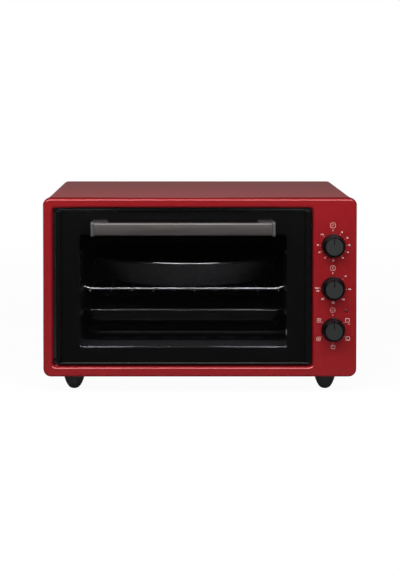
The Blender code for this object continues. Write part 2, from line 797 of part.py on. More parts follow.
def make_cavity_back():
    outline = mouth.grown(CAVITY_FLANGE)
    front = cavity_rear + SEAT_GAP
    field = mouth.grown(-BACK_EMBOSS_MARGIN)
    raised = field.grown(-BACK_EMBOSS)
    rings = [raised.facing(front - BACK_EMBOSS),
             field.facing(front),
             outline.facing(front),
             outline.facing(front + PLATED_SHEET),
             field.facing(front + PLATED_SHEET),
             raised.facing(front - BACK_EMBOSS + PLATED_SHEET)]
    skin("cavity_back", rings, ALUMINISED)


def heater_path(z):
    """Runs from side to side joined by half turns. Both ends leave through the right wall."""
    turn = HEATER_PITCH / 2
    near = mouth.right - HEATER_SIDE_GAP - turn
    far = mouth.left + HEATER_SIDE_GAP + turn
    end_x = mouth.right + PLATED_SHEET + HEATER_TAIL
    points = [(end_x, FRONT + heater_first, z)]
    for run in range(HEATER_RUNS):
        y = FRONT + heater_first + run * HEATER_PITCH
        goes_left = run % 2 == 0
        stop = far if goes_left else near
        if run == HEATER_RUNS - 1:
            points.append((near, y, z))
            break
        side = -1 if goes_left else 1
        for step in range(HEATER_TURN_STEPS + 1):
            angle = step / HEATER_TURN_STEPS * math.pi
            points.append((stop + side * turn * math.sin(angle),
                           y + turn * (1 - math.cos(angle)), z))
    points.append((end_x, FRONT + heater_last, z))
    return points


def make_heaters():
    for name, z in (("lower_heater", lower_heater_z), ("upper_heater", upper_heater_z)):
        tube(name, heater_path(z), HEATER_RADIUS, HEATER_STEEL)
        for end, depth in (("front", heater_first), ("rear", heater_last)):
            bore = HEATER_RADIUS + SEAT_GAP
            neck_back = BUSH_FLANGE + BUSH_NECK
            profile = [(bore, 0), (BUSH_NECK_RADIUS, 0), (BUSH_NECK_RADIUS, BUSH_NECK),
                       (BUSH_FLANGE_RADIUS, BUSH_NECK), (BUSH_FLANGE_RADIUS, neck_back),
                       (bore, neck_back)]
            bush = turned("%s_bush_%s" % (name, end), profile, BUSH_SIDES, CERAMIC, closed=True)
            face_right(bush, mouth.right + PLATED_SHEET + SEAT_GAP - BUSH_NECK, depth, z)


def make_thermostat_bulb():
    """The bulb lies along the right wall, and its capillary leaves through the wall."""
    x = mouth.right - BULB_RADIUS - SEAT_GAP
    y = FRONT + bulb_start
    thin_share = CAPILLARY_RADIUS / BULB_RADIUS
    exit_y = y + BULB_LENGTH + BEAD_DEPTH
    points = [(x, y, bulb_z), (x, y + BULB_LENGTH, bulb_z),
              (x, y + BULB_LENGTH + BULB_RADIUS, bulb_z),
              (x + BULB_RADIUS, exit_y, bulb_z),
              (mouth.right + SHIELD_GAP / 2, exit_y, bulb_z)]
    radius_shares = (1.0, 1.0, thin_share, thin_share, thin_share)
    tube("thermostat_bulb", points, BULB_RADIUS, STEEL, radius_shares)


def make_heat_shield():
    front = mouth_plate_front + PLATED_SHEET + SEAT_GAP
    rear = BODY_DEPTH - BACK_FLANGE - PLATED_SHEET - BACK_EDGE - 2 * SEAT_GAP
    low = base_z + PLATED_SHEET + SEAT_GAP
    high = cover_panel.high - PAINTED_SHEET - SEAT_GAP
    section = [(shield_x, low), (shield_x + SHIELD_FLANGE, low),
               (shield_x + SHIELD_FLANGE, low + PLATED_SHEET),
               (shield_x + PLATED_SHEET, low + PLATED_SHEET),
               (shield_x + PLATED_SHEET, high - PLATED_SHEET),
               (shield_x + SHIELD_FLANGE, high - PLATED_SHEET),
               (shield_x + SHIELD_FLANGE, high), (shield_x, high)]
    rings = [[(x, FRONT + depth, z) for x, z in section] for depth in (front, rear)]
    skin("heat_shield", rings, GALVANISED)


# Door

def make_door(hinge):
    thickness = DOOR_THICKNESS
    rings = [door_panel.facing(thickness)] + rounded_front(door_panel, DOOR_EDGE)
    frame = skin("door_frame", rings, BLACK_ENAMEL)
    glass = Panel(door_panel.left + GLASS_BORDER_LEFT, door_panel.right - GLASS_BORDER_RIGHT,
                  door_panel.low + GLASS_LIP, door_panel.high - GLASS_LIP, GLASS_CORNER)
    floor = GLASS_THICKNESS + SEAT_GAP
    pocket = glass.grown(SEAT_GAP)
    carve(frame, skin("glass_pocket", [pocket.facing(-OVERRUN), pocket.facing(floor)]))
    hollow = door_panel.grown(-DOOR_SHEET)
    hollow_start = floor + DOOR_SHEET
    carve(frame, skin("door_hollow", [hollow.facing(hollow_start),
                                      hollow.facing(thickness + OVERRUN)]))
    carve(frame, skin("door_window", [window.facing(0), window.facing(thickness)]))
    reach = door_panel.right - door_panel.left + 2 * OVERRUN
    hole = cylinder("door_pin_holes", HINGE_PIN_RADIUS + SEAT_GAP, reach, HOLE_SIDES)
    face_right(hole, door_panel.left - OVERRUN, hinge_depth, hinge_z)
    carve(frame, hole)

    outer_glass = skin("door_glass_outer", [glass.facing(GLASS_THICKNESS), glass.facing(0)],
                       DARK_GLASS)
    back = hollow.grown(-SEAT_GAP)
    back_front = thickness - DOOR_SHEET
    back_frame = skin("door_back_frame", [back.facing(back_front), back.facing(thickness)],
                      BLACK_ENAMEL)
    carve(back_frame, skin("back_window", [window.facing(back_front - OVERRUN),
                                           window.facing(thickness + OVERRUN)]))
    inner = window.grown(INNER_GLASS_LAP)
    inner_rear = back_front - SEAT_GAP
    inner_glass = skin("door_glass_inner", [inner.facing(inner_rear - INNER_GLASS),
                                            inner.facing(inner_rear)], DARK_GLASS)
    hang_on(hinge, [frame, outer_glass, back_frame, inner_glass])


def make_hinges(hinge):
    """A pin and its bearing bracket at each lower corner of the door."""
    sides = {"left": (door_panel.left, opening.left, -1), "right": (door_panel.right, opening.right, 1)}
    for name, (door_edge, opening_edge, outward) in sides.items():
        bracket_near = opening_edge + outward * (PAINTED_SHEET + SEAT_GAP)
        bracket_far = bracket_near + outward * HINGE_BRACKET
        pin_start = door_edge - outward * HINGE_PIN_INSIDE
        pin_length = abs(bracket_far - pin_start)
        pin = cylinder("hinge_pin_" + name, HINGE_PIN_RADIUS, pin_length, HOLE_SIDES, STEEL)
        face_right(pin, min(pin_start, bracket_far), hinge_depth, hinge_z)
        hang_on(hinge, [pin])
        y = FRONT + hinge_depth
        side = Panel(y - HINGE_BRACKET_DEPTH / 2, y + HINGE_BRACKET_DEPTH / 2,
                     hinge_z - HINGE_BRACKET_HEIGHT / 2, hinge_z + HINGE_BRACKET_HEIGHT / 2,
                     HINGE_PIN_RADIUS)
        bracket = skin("hinge_bracket_" + name, [side.sideways(bracket_near),
                                                 side.sideways(bracket_far)], STEEL)
        hole = cylinder("bracket_hole_" + name, HINGE_PIN_RADIUS + SEAT_GAP,
                        HINGE_BRACKET + 2 * OVERRUN, HOLE_SIDES)
        face_right(hole, min(bracket_near, bracket_far) - OVERRUN, hinge_depth, hinge_z)
        carve(bracket, hole)


def make_handle(hinge):
    left = door_panel.left + HANDLE_INSET_LEFT
    right = door_panel.right - HANDLE_INSET_RIGHT
    cap_high = door_panel.high - HANDLE_DROP
    middle_z = cap_high - CAP_HEIGHT / 2
    front = FRONT - HANDLE_REACH
    bar_rear = front + BAR_THICKNESS

    section = Panel(front, bar_rear, middle_z - BAR_HEIGHT / 2, middle_z + BAR_HEIGHT / 2, BAR_EDGE)
    bar = skin("handle_bar", [section.sideways(left + CAP_WIDTH + SEAT_GAP, EDGE_STEPS),
                              section.sideways(right - CAP_WIDTH - SEAT_GAP, EDGE_STEPS)],
               ANTHRACITE)
    pieces = [bar]
    cap_section = Panel(front, front + CAP_DEPTH, middle_z - CAP_HEIGHT / 2, cap_high, BAR_EDGE)
    for name, x in (("left", left), ("right", right - CAP_WIDTH)):
        pieces.append(skin("handle_cap_" + name,
                           [cap_section.sideways(x, EDGE_STEPS),
                            cap_section.sideways(x + CAP_WIDTH, EDGE_STEPS)], ANTHRACITE))
    arm_front = front + CAP_DEPTH + SEAT_GAP - FRONT
    arm_rear = -SEAT_GAP
    for name, x in (("left", left), ("right", right - ARM_WIDTH)):
        foot = Panel(x, x + ARM_WIDTH, middle_z - ARM_HEIGHT / 2, middle_z + ARM_HEIGHT / 2, ARM_EDGE)
        pieces.append(skin("handle_arm_" + name,
                           [foot.facing(arm_rear, EDGE_STEPS),
                            foot.facing(arm_front, EDGE_STEPS)], ANTHRACITE))
    hang_on(hinge, pieces)


# Controls

def make_knob(control, height):
    """A knob on its shaft. The knob's own origin is on its axis, at its back."""
    rise = KNOB_HEIGHT
    bore = SHAFT_RADIUS + SEAT_GAP
    profile = [(0, rise), (KNOB_FACE_RADIUS, rise)]
    for step in range(1, EDGE_STEPS + 1):
        angle = step / EDGE_STEPS * math.pi / 2
        profile.append((KNOB_FACE_RADIUS + (KNOB_WAIST - KNOB_FACE_RADIUS) * math.sin(angle),
                        rise - KNOB_EDGE * (1 - math.cos(angle))))
    profile += [(KNOB_RADIUS, KNOB_SKIRT), (KNOB_RADIUS, 0), (bore, 0),
                (bore, KNOB_BORE_DEPTH), (0, KNOB_BORE_DEPTH)]
    knob = turned(control + "_knob", profile, KNOB_SIDES, BLACK_PLASTIC)
    face_forward(knob, knob_x, -KNOB_GAP, height)
    start = KNOB_FACE_RADIUS - POINTER_LENGTH
    groove = Panel(-POINTER_WIDTH / 2, POINTER_WIDTH / 2, start, KNOB_FACE_RADIUS + POINTER_WIDTH,
                   POINTER_WIDTH / 2)
    cutter = skin(control + "_pointer", [groove.lying(rise - POINTER_DEPTH, SLOT_STEPS),
                                         groove.lying(rise + OVERRUN, SLOT_STEPS)])
    face_forward(cutter, knob_x, -KNOB_GAP, height)
    carve(knob, cutter)

    bracket_back = BRACKET_DEPTH + PLATED_SHEET
    shaft_start = bracket_back + SEAT_GAP + SHAFT_IN_BODY
    shaft_end = -KNOB_GAP - KNOB_BORE_DEPTH + SHAFT_END_GAP
    shaft = cylinder(control + "_shaft", SHAFT_RADIUS, shaft_start - shaft_end, SHAFT_SIDES,
                     BRASS)
    face_forward(shaft, knob_x, shaft_start, height)


def make_switch(control, height, size, body_depth):
    """A control body behind the bracket, with the neck that its shaft turns in."""
    front = BRACKET_DEPTH + PLATED_SHEET + SEAT_GAP
    square = Panel(knob_x - size / 2, knob_x + size / 2, height - size / 2, height + size / 2,
                   SWITCH_CORNER)
    body = standing_block(control + "_body", square, front, front + body_depth, STEEL)
    neck = cylinder(control + "_neck", NECK_RADIUS, NECK_LENGTH + body_depth / 2, SHAFT_SIDES)
    face_forward(neck, knob_x, front + body_depth / 2, height)
    carve(body, neck, "UNION")
    bore = cylinder(control + "_bore", SHAFT_RADIUS + SEAT_GAP,
                    NECK_LENGTH + SHAFT_IN_BODY + SHAFT_END_GAP + OVERRUN, SHAFT_SIDES)
    face_forward(bore, knob_x, front + SHAFT_IN_BODY + SHAFT_END_GAP, height)
    carve(body, bore)
    return front + body_depth


def make_controls():
    sizes = {"timer": (TIMER_SIZE, TIMER_DEPTH),
             "thermostat": (THERMOSTAT_SIZE, THERMOSTAT_DEPTH),
             "selector": (SELECTOR_SIZE, SELECTOR_DEPTH)}
    for control, height in knob_heights.items():
        make_knob(control, height)
        size, body_depth = sizes[control]
        rear = make_switch(control, height, size, body_depth)
        if control == "timer":
            profile = [(0, 0), (BELL_RADIUS, 0)]
            add_dome(profile, BELL_RADIUS, 0, BELL_DEPTH, BELL_STEPS)
            bell = turned("timer_bell", profile, BELL_SIDES, BRASS)
            bell.rotation_euler = (-math.pi / 2, 0, 0)
            bell.location = (knob_x, FRONT + rear + SEAT_GAP, height)


def make_control_bracket():
    """A channel that stands between the panel and the three control bodies."""
    low = knob_heights["selector"] - BRACKET_OVERLAP
    high = knob_heights["timer"] + BRACKET_OVERLAP
    left = knob_x - BRACKET_WIDTH / 2
    right = knob_x + BRACKET_WIDTH / 2
    near = PAINTED_SHEET + SEAT_GAP
    far = BRACKET_DEPTH + PLATED_SHEET
    section = [(left, near), (left + PLATED_SHEET, near), (left + PLATED_SHEET, BRACKET_DEPTH),
               (right - PLATED_SHEET, BRACKET_DEPTH), (right - PLATED_SHEET, near), (right, near),
               (right, far), (left, far)]
    rings = [[(x, FRONT + depth, z) for x, depth in section] for z in (low, high)]
    bracket = skin("control_bracket", rings, GALVANISED)
    for control, height in knob_heights.items():
        hole = cylinder(control + "_bracket_hole", NECK_RADIUS + SEAT_GAP, 2 * OVERRUN,
                        SHAFT_SIDES)
        face_forward(hole, knob_x, BRACKET_DEPTH + OVERRUN, height)
        carve(bracket, hole)


def make_indicator():
    profile = [(0, 0), (LENS_RADIUS, 0), (LENS_RADIUS, LENS_STEM)]
    add_dome(profile, LENS_RADIUS, LENS_STEM, LENS_DOME, LENS_STEPS)
    lens = turned("indicator_lens", profile, HOLE_SIDES, LAMP_RED)
    face_forward(lens, indicator_x, LENS_STEM, indicator_z)
    lamp = cylinder("indicator_lamp", LAMP_RADIUS, LAMP_LENGTH, HOLE_SIDES, BLACK_PLASTIC)
    face_forward(lamp, indicator_x, LENS_STEM + SEAT_GAP + LAMP_LENGTH, indicator_z)


# Rack, tray and tin

def make_rack(runner):
    """A wire frame that rests on the guide beads, with wires fused under its rails."""
    side = mouth.left + RACK_SIDE_GAP + WIRE_FRAME_RADIUS
    other = mouth.right - RACK_SIDE_GAP - WIRE_FRAME_RADIUS
    high = rack_ledge + SEAT_GAP + WIRE_FRAME_RADIUS
    low = high - RACK_DIP
    front = FRONT + cavity_front + RACK_FRONT
    rear = FRONT + cavity_rear - RACK_REAR_GAP
    knee = RACK_KNEE
    rest = RACK_REST
    points = [(side + knee, front, low), (other - knee, front, low), (other - rest, front, high),
              (other, front + knee, high), (other, rear - knee, high), (other - rest, rear, high),
              (other - knee, rear, low), (side + knee, rear, low), (side + rest, rear, high),
              (side, rear - knee, high), (side, front + knee, high), (side + rest, front, high)]
    loop = eased_path(points, RACK_BEND, RACK_BEND_STEPS, closed=True)
    rack = skin("wire_rack", rod_rings(loop, WIRE_FRAME_RADIUS, ROD_SIDES, closed=True),
                CHROME, closed=True)
    wire_z = low - WIRE_FRAME_RADIUS - WIRE_RADIUS + WIRE_SINK
    first = side + knee + WIRE_FRAME_RADIUS
    pitch = (other - side - 2 * knee - 2 * WIRE_FRAME_RADIUS) / (RACK_WIRES - 1)
    bm = bmesh.new()
    for number in range(RACK_WIRES):
        x = first + number * pitch
        path = [(x, front - WIRE_RADIUS, wire_z), (x, rear + WIRE_RADIUS, wire_z)]
        add_skin(bm, rod_rings(path, WIRE_RADIUS, ROD_SIDES))
    carve(rack, add_object("rack_wires", bm), "UNION")
    hang_on(runner, [rack])
    return wire_z + WIRE_RADIUS


def make_tin(runner, seat_z):
    radius_by_width = (mouth.right - mouth.left) / 2 - TIN_SHIFT - TIN_SIDE_GAP
    radius_by_depth = (cavity_rear - cavity_front) / 2 - TIN_FRONT / 2 - TIN_SIDE_GAP
    radius = min(radius_by_width, radius_by_depth)
    top = TIN_HEIGHT
    rim = TIN_RIM_RADIUS
    wall_top = radius - 2 * rim
    floor_radius = wall_top - TIN_WALL_LEAN
    sheet = TIN_SHEET
    edge = TIN_FLOOR_EDGE
    profile = [(0, sheet), (floor_radius - edge, sheet), (floor_radius, sheet + edge / 2),
               (wall_top - sheet, top - rim)]
    for step in range(1, TIN_RIM_STEPS + 1):
        angle = math.pi - step / TIN_RIM_STEPS * math.pi
        profile.append((radius - rim + rim * math.cos(angle), top - rim + rim * math.sin(angle)))
    profile += [(radius - rim / 2, top - 2 * rim), (wall_top + sheet / 2, top - 2 * rim),
                (floor_radius + sheet, edge / 2), (floor_radius - edge / 2, 0), (0, 0)]
    tin = turned("round_tin", profile, TIN_SIDES, BLACK_ENAMEL)
    tin.location = (cavity_middle_x + TIN_SHIFT, FRONT + cavity_front + TIN_FRONT + radius,
                    seat_z + SEAT_GAP)
    hang_on(runner, [tin])


def make_tray(runner):
    rim = Panel(mouth.left + TRAY_SIDE_GAP, mouth.right - TRAY_SIDE_GAP,
                FRONT + cavity_front + TRAY_FRONT, FRONT + cavity_rear - TRAY_REAR_GAP,
                TRAY_CORNER)
    top = tray_ledge + SEAT_GAP + TRAY_RIM_HEIGHT
    under = top - TRAY_RIM_HEIGHT
    floor = top - TRAY_HEIGHT
    sheet = TRAY_SHEET
    wall = rim.grown(-TRAY_RIM_WIDTH)
    foot = wall.grown(-TRAY_TAPER)
    rings = [foot.grown(-TRAY_FLOOR_EDGE).lying(floor + sheet),
             foot.grown(-sheet).lying(floor + TRAY_FLOOR_EDGE),
             wall.grown(-sheet).lying(top - sheet),
             wall.lying(top),
             rim.grown(-sheet).lying(top),
             rim.lying(top - sheet),
             rim.lying(under),
             rim.grown(-sheet).lying(under),
             rim.grown(-sheet).lying(top - sheet),
             wall.grown(sheet).lying(top - sheet),
             wall.lying(top - 2 * sheet),
             foot.lying(floor + TRAY_FLOOR_EDGE),
             foot.grown(-TRAY_FLOOR_EDGE).lying(floor)]
    tray = skin("baking_tray", rings, BLACK_ENAMEL)
    hang_on(runner, [tray])


# Mains inlet

def make_inlet():
    x = RIGHT - GLAND_SIDE
    z = BOTTOM + GLAND_RISE
    inside = PLATED_SHEET + BACK_FIELD_DROP
    neck = inside + OVERRUN
    profile = [(GLAND_BORE, 0), (GLAND_RADIUS, 0), (GLAND_RADIUS, neck + SEAT_GAP),
               (GLAND_FLANGE_RADIUS, neck + SEAT_GAP),
               (GLAND_FLANGE_RADIUS - SEAT_GAP, neck + GLAND_PROUD - GLAND_SLOPE),
               (GLAND_RADIUS - SEAT_GAP, neck + GLAND_PROUD), (GLAND_BORE, neck + GLAND_PROUD)]
    gland = turned("inlet_gland", profile, GLAND_SIDES, BLACK_PLASTIC, closed=True)
    gland.rotation_euler = (-math.pi / 2, 0, 0)
    gland.location = (x, FRONT + BODY_DEPTH - neck, z)
    low = z + GLAND_FLANGE_RADIUS + TERMINAL_GAP
    block = Panel(x - TERMINAL_WIDTH / 2, x + TERMINAL_WIDTH / 2, low, low + TERMINAL_HEIGHT,
                  BACK_EDGE)
    rear = BODY_DEPTH - BACK_FIELD_DROP - PLATED_SHEET - SEAT_GAP
    standing_block("terminal_block", block, rear - TERMINAL_DEPTH, rear, CERAMIC)


def build():
    for old in list(bpy.data.objects):
        bpy.data.objects.remove(old, do_unlink=True)
    make_front_frame()
    make_outer_cover()
    make_back_panel()
    make_base_panel()
    make_feet()
    make_cavity_mouth()
    make_cavity_wrap()
    make_cavity_back()
    make_heaters()
    make_thermostat_bulb()
    make_heat_shield()
    hinge = axis_empty("door_hinge_axis", (door_panel.left + door_panel.right) / 2,
                       hinge_depth, hinge_z)
    make_door(hinge)
    make_hinges(hinge)
    make_handle(hinge)
    make_controls()
    make_control_bracket()
    make_indicator()
    rack_runner = axis_empty("rack_runner", cavity_middle_x, cavity_front, rack_ledge)
    tray_runner = axis_empty("tray_runner", cavity_middle_x, cavity_front, tray_ledge)
    rack_top = make_rack(rack_runner)
    make_tin(rack_runner, rack_top)
    make_tray(tray_runner)
    make_inlet()


build()
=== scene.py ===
import math

import bpy
import numpy as np
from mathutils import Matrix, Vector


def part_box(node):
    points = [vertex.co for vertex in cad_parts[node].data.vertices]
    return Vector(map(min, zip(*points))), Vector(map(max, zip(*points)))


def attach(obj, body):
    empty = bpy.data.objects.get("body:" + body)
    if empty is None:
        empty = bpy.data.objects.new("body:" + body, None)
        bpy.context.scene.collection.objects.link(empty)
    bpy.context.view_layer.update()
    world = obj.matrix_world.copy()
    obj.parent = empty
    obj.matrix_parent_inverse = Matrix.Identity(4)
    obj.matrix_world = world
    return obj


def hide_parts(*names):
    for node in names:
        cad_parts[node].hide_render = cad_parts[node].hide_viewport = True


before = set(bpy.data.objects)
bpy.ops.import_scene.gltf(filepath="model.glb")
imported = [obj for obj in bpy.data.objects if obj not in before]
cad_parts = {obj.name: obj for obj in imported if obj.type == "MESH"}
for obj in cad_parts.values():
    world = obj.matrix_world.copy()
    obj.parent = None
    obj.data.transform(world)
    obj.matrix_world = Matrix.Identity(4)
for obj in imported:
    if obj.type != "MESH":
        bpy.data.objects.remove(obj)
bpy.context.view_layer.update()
scene = bpy.context.scene
print("stage: frame loaded")

# Sizes are metres, +Z is up and the oven's front faces -Y.


# Surfaces

# Quads of a grid of rows and columns of points. Each quad joins a point to its
# neighbours in the next row and column. Columns join back to the first, and so do
# rows if they are wrapped.
def gridFaces(rows, columns, wrapRows=False):
    number = np.arange(rows * columns).reshape(rows, columns)
    beside, below = np.roll(number, -1, 1), np.roll(number, -1, 0)
    faces = np.stack((number, beside, np.roll(beside, -1, 0), below), -1)
    return (faces if wrapRows else faces[:-1]).reshape(-1, 4)


# A closed body's volume, as the sum over its faces of the cone to the origin.
def signedVolume(points, faces):
    first = points[faces[:, 0]]
    total = 0.0
    for corner in range(1, faces.shape[1] - 1):
        cross = np.cross(points[faces[:, corner]], points[faces[:, corner + 1]])
        total += np.einsum("ij,ij->", first, cross) / 6
    return total


sharpAngle = math.radians(35)  # an edge that turns by more than this is drawn sharp


def shadeSmooth(mesh):
    mesh.shade_smooth()
    mesh.set_sharp_from_angle(angle=sharpAngle)


# Turns groups of faces round if together they face inwards.
def outward(points, groups):
    volume = sum(signedVolume(points, faces) for faces in groups)
    return [faces[:, ::-1] for faces in groups] if volume < 0 else groups


# Makes a mesh from points and groups of equal-sided faces, turned to face outwards.
def meshFrom(name, points, faceGroups):
    faceGroups = outward(points, faceGroups)
    sides = np.concatenate([np.full(len(faces), faces.shape[1]) for faces in faceGroups])
    corners = np.concatenate([faces.ravel() for faces in faceGroups])
    mesh = bpy.data.meshes.new(name)
    mesh.vertices.add(len(points))
    mesh.vertices.foreach_set("co", points.ravel())
    mesh.loops.add(len(corners))
    mesh.loops.foreach_set("vertex_index", corners)
    mesh.polygons.add(len(sides))
    mesh.polygons.foreach_set("loop_start", np.concatenate(([0], np.cumsum(sides)[:-1])))
    mesh.update(calc_edges=True)
    mesh.validate()
    shadeSmooth(mesh)
    return mesh


# A skin over rows of rings, shaped (rows, columns, 3). Its ends are closed by fans
# to their middles, or the last row joins the first.
def skinArrays(rings, closedRows=False):
    rows, columns = rings.shape[:2]
    points = rings.reshape(-1, 3)
    groups = [gridFaces(rows, columns, wrapRows=closedRows)]
    if not closedRows:
        step = np.arange(columns)
        nextStep = (step + 1) % columns
        middles = np.stack((rings[0].mean(0), rings[-1].mean(0)))
        base = (rows - 1) * columns
        firstPole = len(points)
        fans = (np.stack((np.full(columns, firstPole), nextStep, step), -1),
                np.stack((np.full(columns, firstPole + 1), base + step, base + nextStep), -1))
        points = np.concatenate((points, middles))
        groups.append(np.concatenate(fans))
    return points, groups


# Joins parts of (points, groups of faces) into one, each turned to face outwards.
def joinArrays(parts):
    points, groups, start = [], {}, 0
    for partPoints, partGroups in parts:
        for faces in outward(partPoints, partGroups):
            groups.setdefault(faces.shape[1], []).append(faces + start)
        points.append(partPoints)
        start += len(partPoints)
    return np.concatenate(points), [np.concatenate(group) for group in groups.values()]


# Rounded rectangles, one row for each (left, right, low, high, radius). A point is
# its corner's centre plus the radius times the cosine and sine of its angle. A hold
# adds a point to each end of a corner, that far along the straight side.
def roundedRows(rects, steps, hold):
    rects = np.asarray(rects, float)[:, None, :]
    left, right, low, high, radius = np.moveaxis(rects, -1, 0)
    turn, slide = np.linspace(0, 1, steps + 1), np.zeros(steps + 1)
    if hold:
        turn = np.concatenate(([0], turn, [1]))
        slide = np.concatenate(([-hold], slide, [hold]))
    quarter = np.repeat(np.arange(4), len(turn))
    angle = (quarter + np.tile(turn, 4)) * math.pi / 2
    slide = np.tile(slide, 4)
    across = np.where((quarter == 0) | (quarter == 3), right - radius, left + radius)
    up = np.where(quarter < 2, high - radius, low + radius)
    return (across + radius * np.cos(angle) - slide * np.sin(angle),
            up + radius * np.sin(angle) + slide * np.cos(angle))


leastRadius = 0.0002  # of a rounded rectangle's corners


# A rounded rectangle, larger by an amount on every side.
def grown(rect, amount):
    left, right, low, high, radius = rect
    return (left - amount, right + amount, low - amount, high + amount,
            max(radius + amount, leastRadius))


# Rows of rounded rectangles in two axes, each at its place along the third, named axis.
def rowsAlong(axis, rects, places, steps=8, hold=0.0004):
    sides = list(roundedRows(rects, steps, hold))
    place = np.broadcast_to(np.asarray(places, float)[:, None], sides[0].shape)
    sides.insert("XYZ".index(axis), place)
    return np.stack(sides, -1)


# Rings of rows of (outline, growth, place). The places count from a start.
def grownRows(axis, rows, steps=10, start=0):
    return rowsAlong(axis, [grown(rect, growth) for rect, growth, place in rows],
                     [start + place for rect, growth, place in rows], steps)


# Loops of (across, up) points, each stood at its own depth.
def stoodAt(loops, depths):
    return np.stack([np.stack((loop[:, 0], np.full(len(loop), depth), loop[:, 1]), -1)
                     for loop, depth in zip(loops, depths)])


# Turns a profile of (radius, height) round an axis through centre. A point is the
# centre plus height along the axis plus radius times the two side directions,
# weighted by the cosine and sine of the turn.
def latheRings(profile, centre, axis, segments):
    profile = np.asarray(profile, float)
    sides = {"up": ((1, 0, 0), (0, 1, 0), (0, 0, 1)),
             "front": ((1, 0, 0), (0, 0, 1), (0, -1, 0)),
             "rear": ((1, 0, 0), (0, 0, 1), (0, 1, 0)),
             "right": ((0, 1, 0), (0, 0, 1), (1, 0, 0)),
             "left": ((0, 1, 0), (0, 0, 1), (-1, 0, 0))}[axis]
    first, second, along = (np.array(side, float) for side in sides)
    turn = np.arange(segments) / segments * 2 * math.pi
    circle = np.cos(turn)[:, None] * first + np.sin(turn)[:, None] * second
    return (np.array(centre, float) + profile[:, 1, None, None] * along
            + profile[:, 0, None, None] * circle)


# A quarter round of a turned profile, from (outer, top less drop) to (inner, top). The
# radius follows the cosine of the turn and the height its sine. A share stops it early.
def quarterRound(inner, outer, top, drop, share=1):
    turn = np.linspace(0, share * math.pi / 2, 9)
    return [*zip(inner + (outer - inner) * np.cos(turn), top - drop * (1 - np.sin(turn)))]


# A tube round a path. At each point the ring stands square to the path, and its
# upright side is the part of the reference direction that is square to the path.
def tubeRings(path, radius, sides, closed=False, reference=(0, 0, 1)):
    path = np.asarray(path, float)
    if closed:
        along = np.roll(path, -1, 0) - np.roll(path, 1, 0)
    else:
        along = np.gradient(path, axis=0)
    along /= np.linalg.norm(along, axis=1, keepdims=True)
    side = np.cross(along, np.array(reference, float))
    side /= np.linalg.norm(side, axis=1, keepdims=True)
    upward = np.cross(side, along)
    angle = np.arange(sides) / sides * 2 * math.pi
    radius = np.broadcast_to(np.asarray(radius, float), len(path))[:, None, None]
    return (path[:, None, :] + radius * (np.cos(angle)[:, None] * side[:, None, :]
                                         + np.sin(angle)[:, None] * upward[:, None, :]))


# A path through points with each corner turned by an arc: the arc starts and ends
# the same cut away from the corner, and its points lie on one circle. A hold adds a
# point that far before and after the arc, along the straights.
def roundedPath(points, radius, steps=8, closed=False, hold=0):
    points = np.asarray(points, float)
    radii = np.broadcast_to(np.asarray(radius, float), len(points))
    pieces = []
    for number, corner in enumerate(points):
        if not closed and number in (0, len(points) - 1):
            pieces.append(corner[None])
            continue
        back = points[number - 1] - corner
        ahead = points[(number + 1) % len(points)] - corner
        backLength, aheadLength = np.linalg.norm(back), np.linalg.norm(ahead)
        back, ahead = back / backLength, ahead / aheadLength
        half = math.acos(np.clip(back @ ahead, -1, 1)) / 2
        cut = min(radii[number] / math.tan(half), backLength / 2, aheadLength / 2)
        bend = cut * math.tan(half)
        middle = (back + ahead) / np.linalg.norm(back + ahead)
        centre = corner + middle * bend / math.sin(half)
        share = np.linspace(0, 1, steps + 1)[:, None]
        arm = (corner + back * cut) * (1 - share) + (corner + ahead * cut) * share - centre
        arc = centre + arm / np.linalg.norm(arm, axis=1, keepdims=True) * bend
        if hold:
            arc = np.concatenate(([corner + back * (cut + hold)], arc,
                                  [corner + ahead * (cut + hold)]))
        pieces.append(arc)
    return np.concatenate(pieces)


# A piece made of one or more parts, with its body and finish.
def addPiece(name, parts, body, finish, replaced=()):
    points, groups = joinArrays(parts)
    piece = bpy.data.objects.new(name, meshFrom(name, points, groups))
    scene.collection.objects.link(piece)
    piece.data.materials.append(finishes[finish])
    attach(piece, body)
    if replaced:
        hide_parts(*replaced)
    return piece


# A piece that is one skin over rings.
def addSkin(name, rings, body, finish, replaced=(), closed=False):
    return addPiece(name, [skinArrays(rings, closed)], body, finish, replaced)


# The mesh that an object's modifiers or its text make.
def evaluatedMesh(item):
    bpy.context.view_layer.update()
    graph = bpy.context.evaluated_depsgraph_get()
    return bpy.data.meshes.new_from_object(item.evaluated_get(graph))


# Cuts holes into a piece: a Boolean takes the cutters' rings away, and the result
# becomes the piece's own mesh.
def pierce(piece, cutterRings):
    points, groups = joinArrays([skinArrays(rings) for rings in cutterRings])
    cutter = bpy.data.objects.new("cutter", meshFrom("cutter", points, groups))
    scene.collection.objects.link(cutter)
    cut = piece.modifiers.new("holes", "BOOLEAN")
    cut.operation, cut.solver, cut.object = "DIFFERENCE", "EXACT", cutter
    mesh = evaluatedMesh(piece)
    piece.modifiers.clear()
    piece.data = mesh
    shadeSmooth(mesh)
    bpy.data.objects.remove(cutter, do_unlink=True)


# The cutter of a round bore through a place.
def boreRings(radius, place, axis, segments, reach=0.01):
    return latheRings([(radius, -reach), (radius, reach)], place, axis, segments)


# Materials

grainDepth = 0.0002
toneStops = (0.3, 0.7)  # where the noise starts and ends its change of tone


# A colour of 0 to 255 as the linear values that shaders take.
def linear(colour):
    value = np.asarray(colour, float) / 255
    low = value / 12.92
    high = ((value + 0.055) / 1.055) ** 2.4
    return [*np.where(value <= 0.04045, low, high), 1.0]


# A shader node with values for its sockets or its own settings.
def addNode(tree, kind, **values):
    node = tree.node_tree.nodes.new(kind)
    for name, value in values.items():
        if name in node.inputs:
            node.inputs[name].default_value = value
        else:
            setattr(node, name, value)
    return node


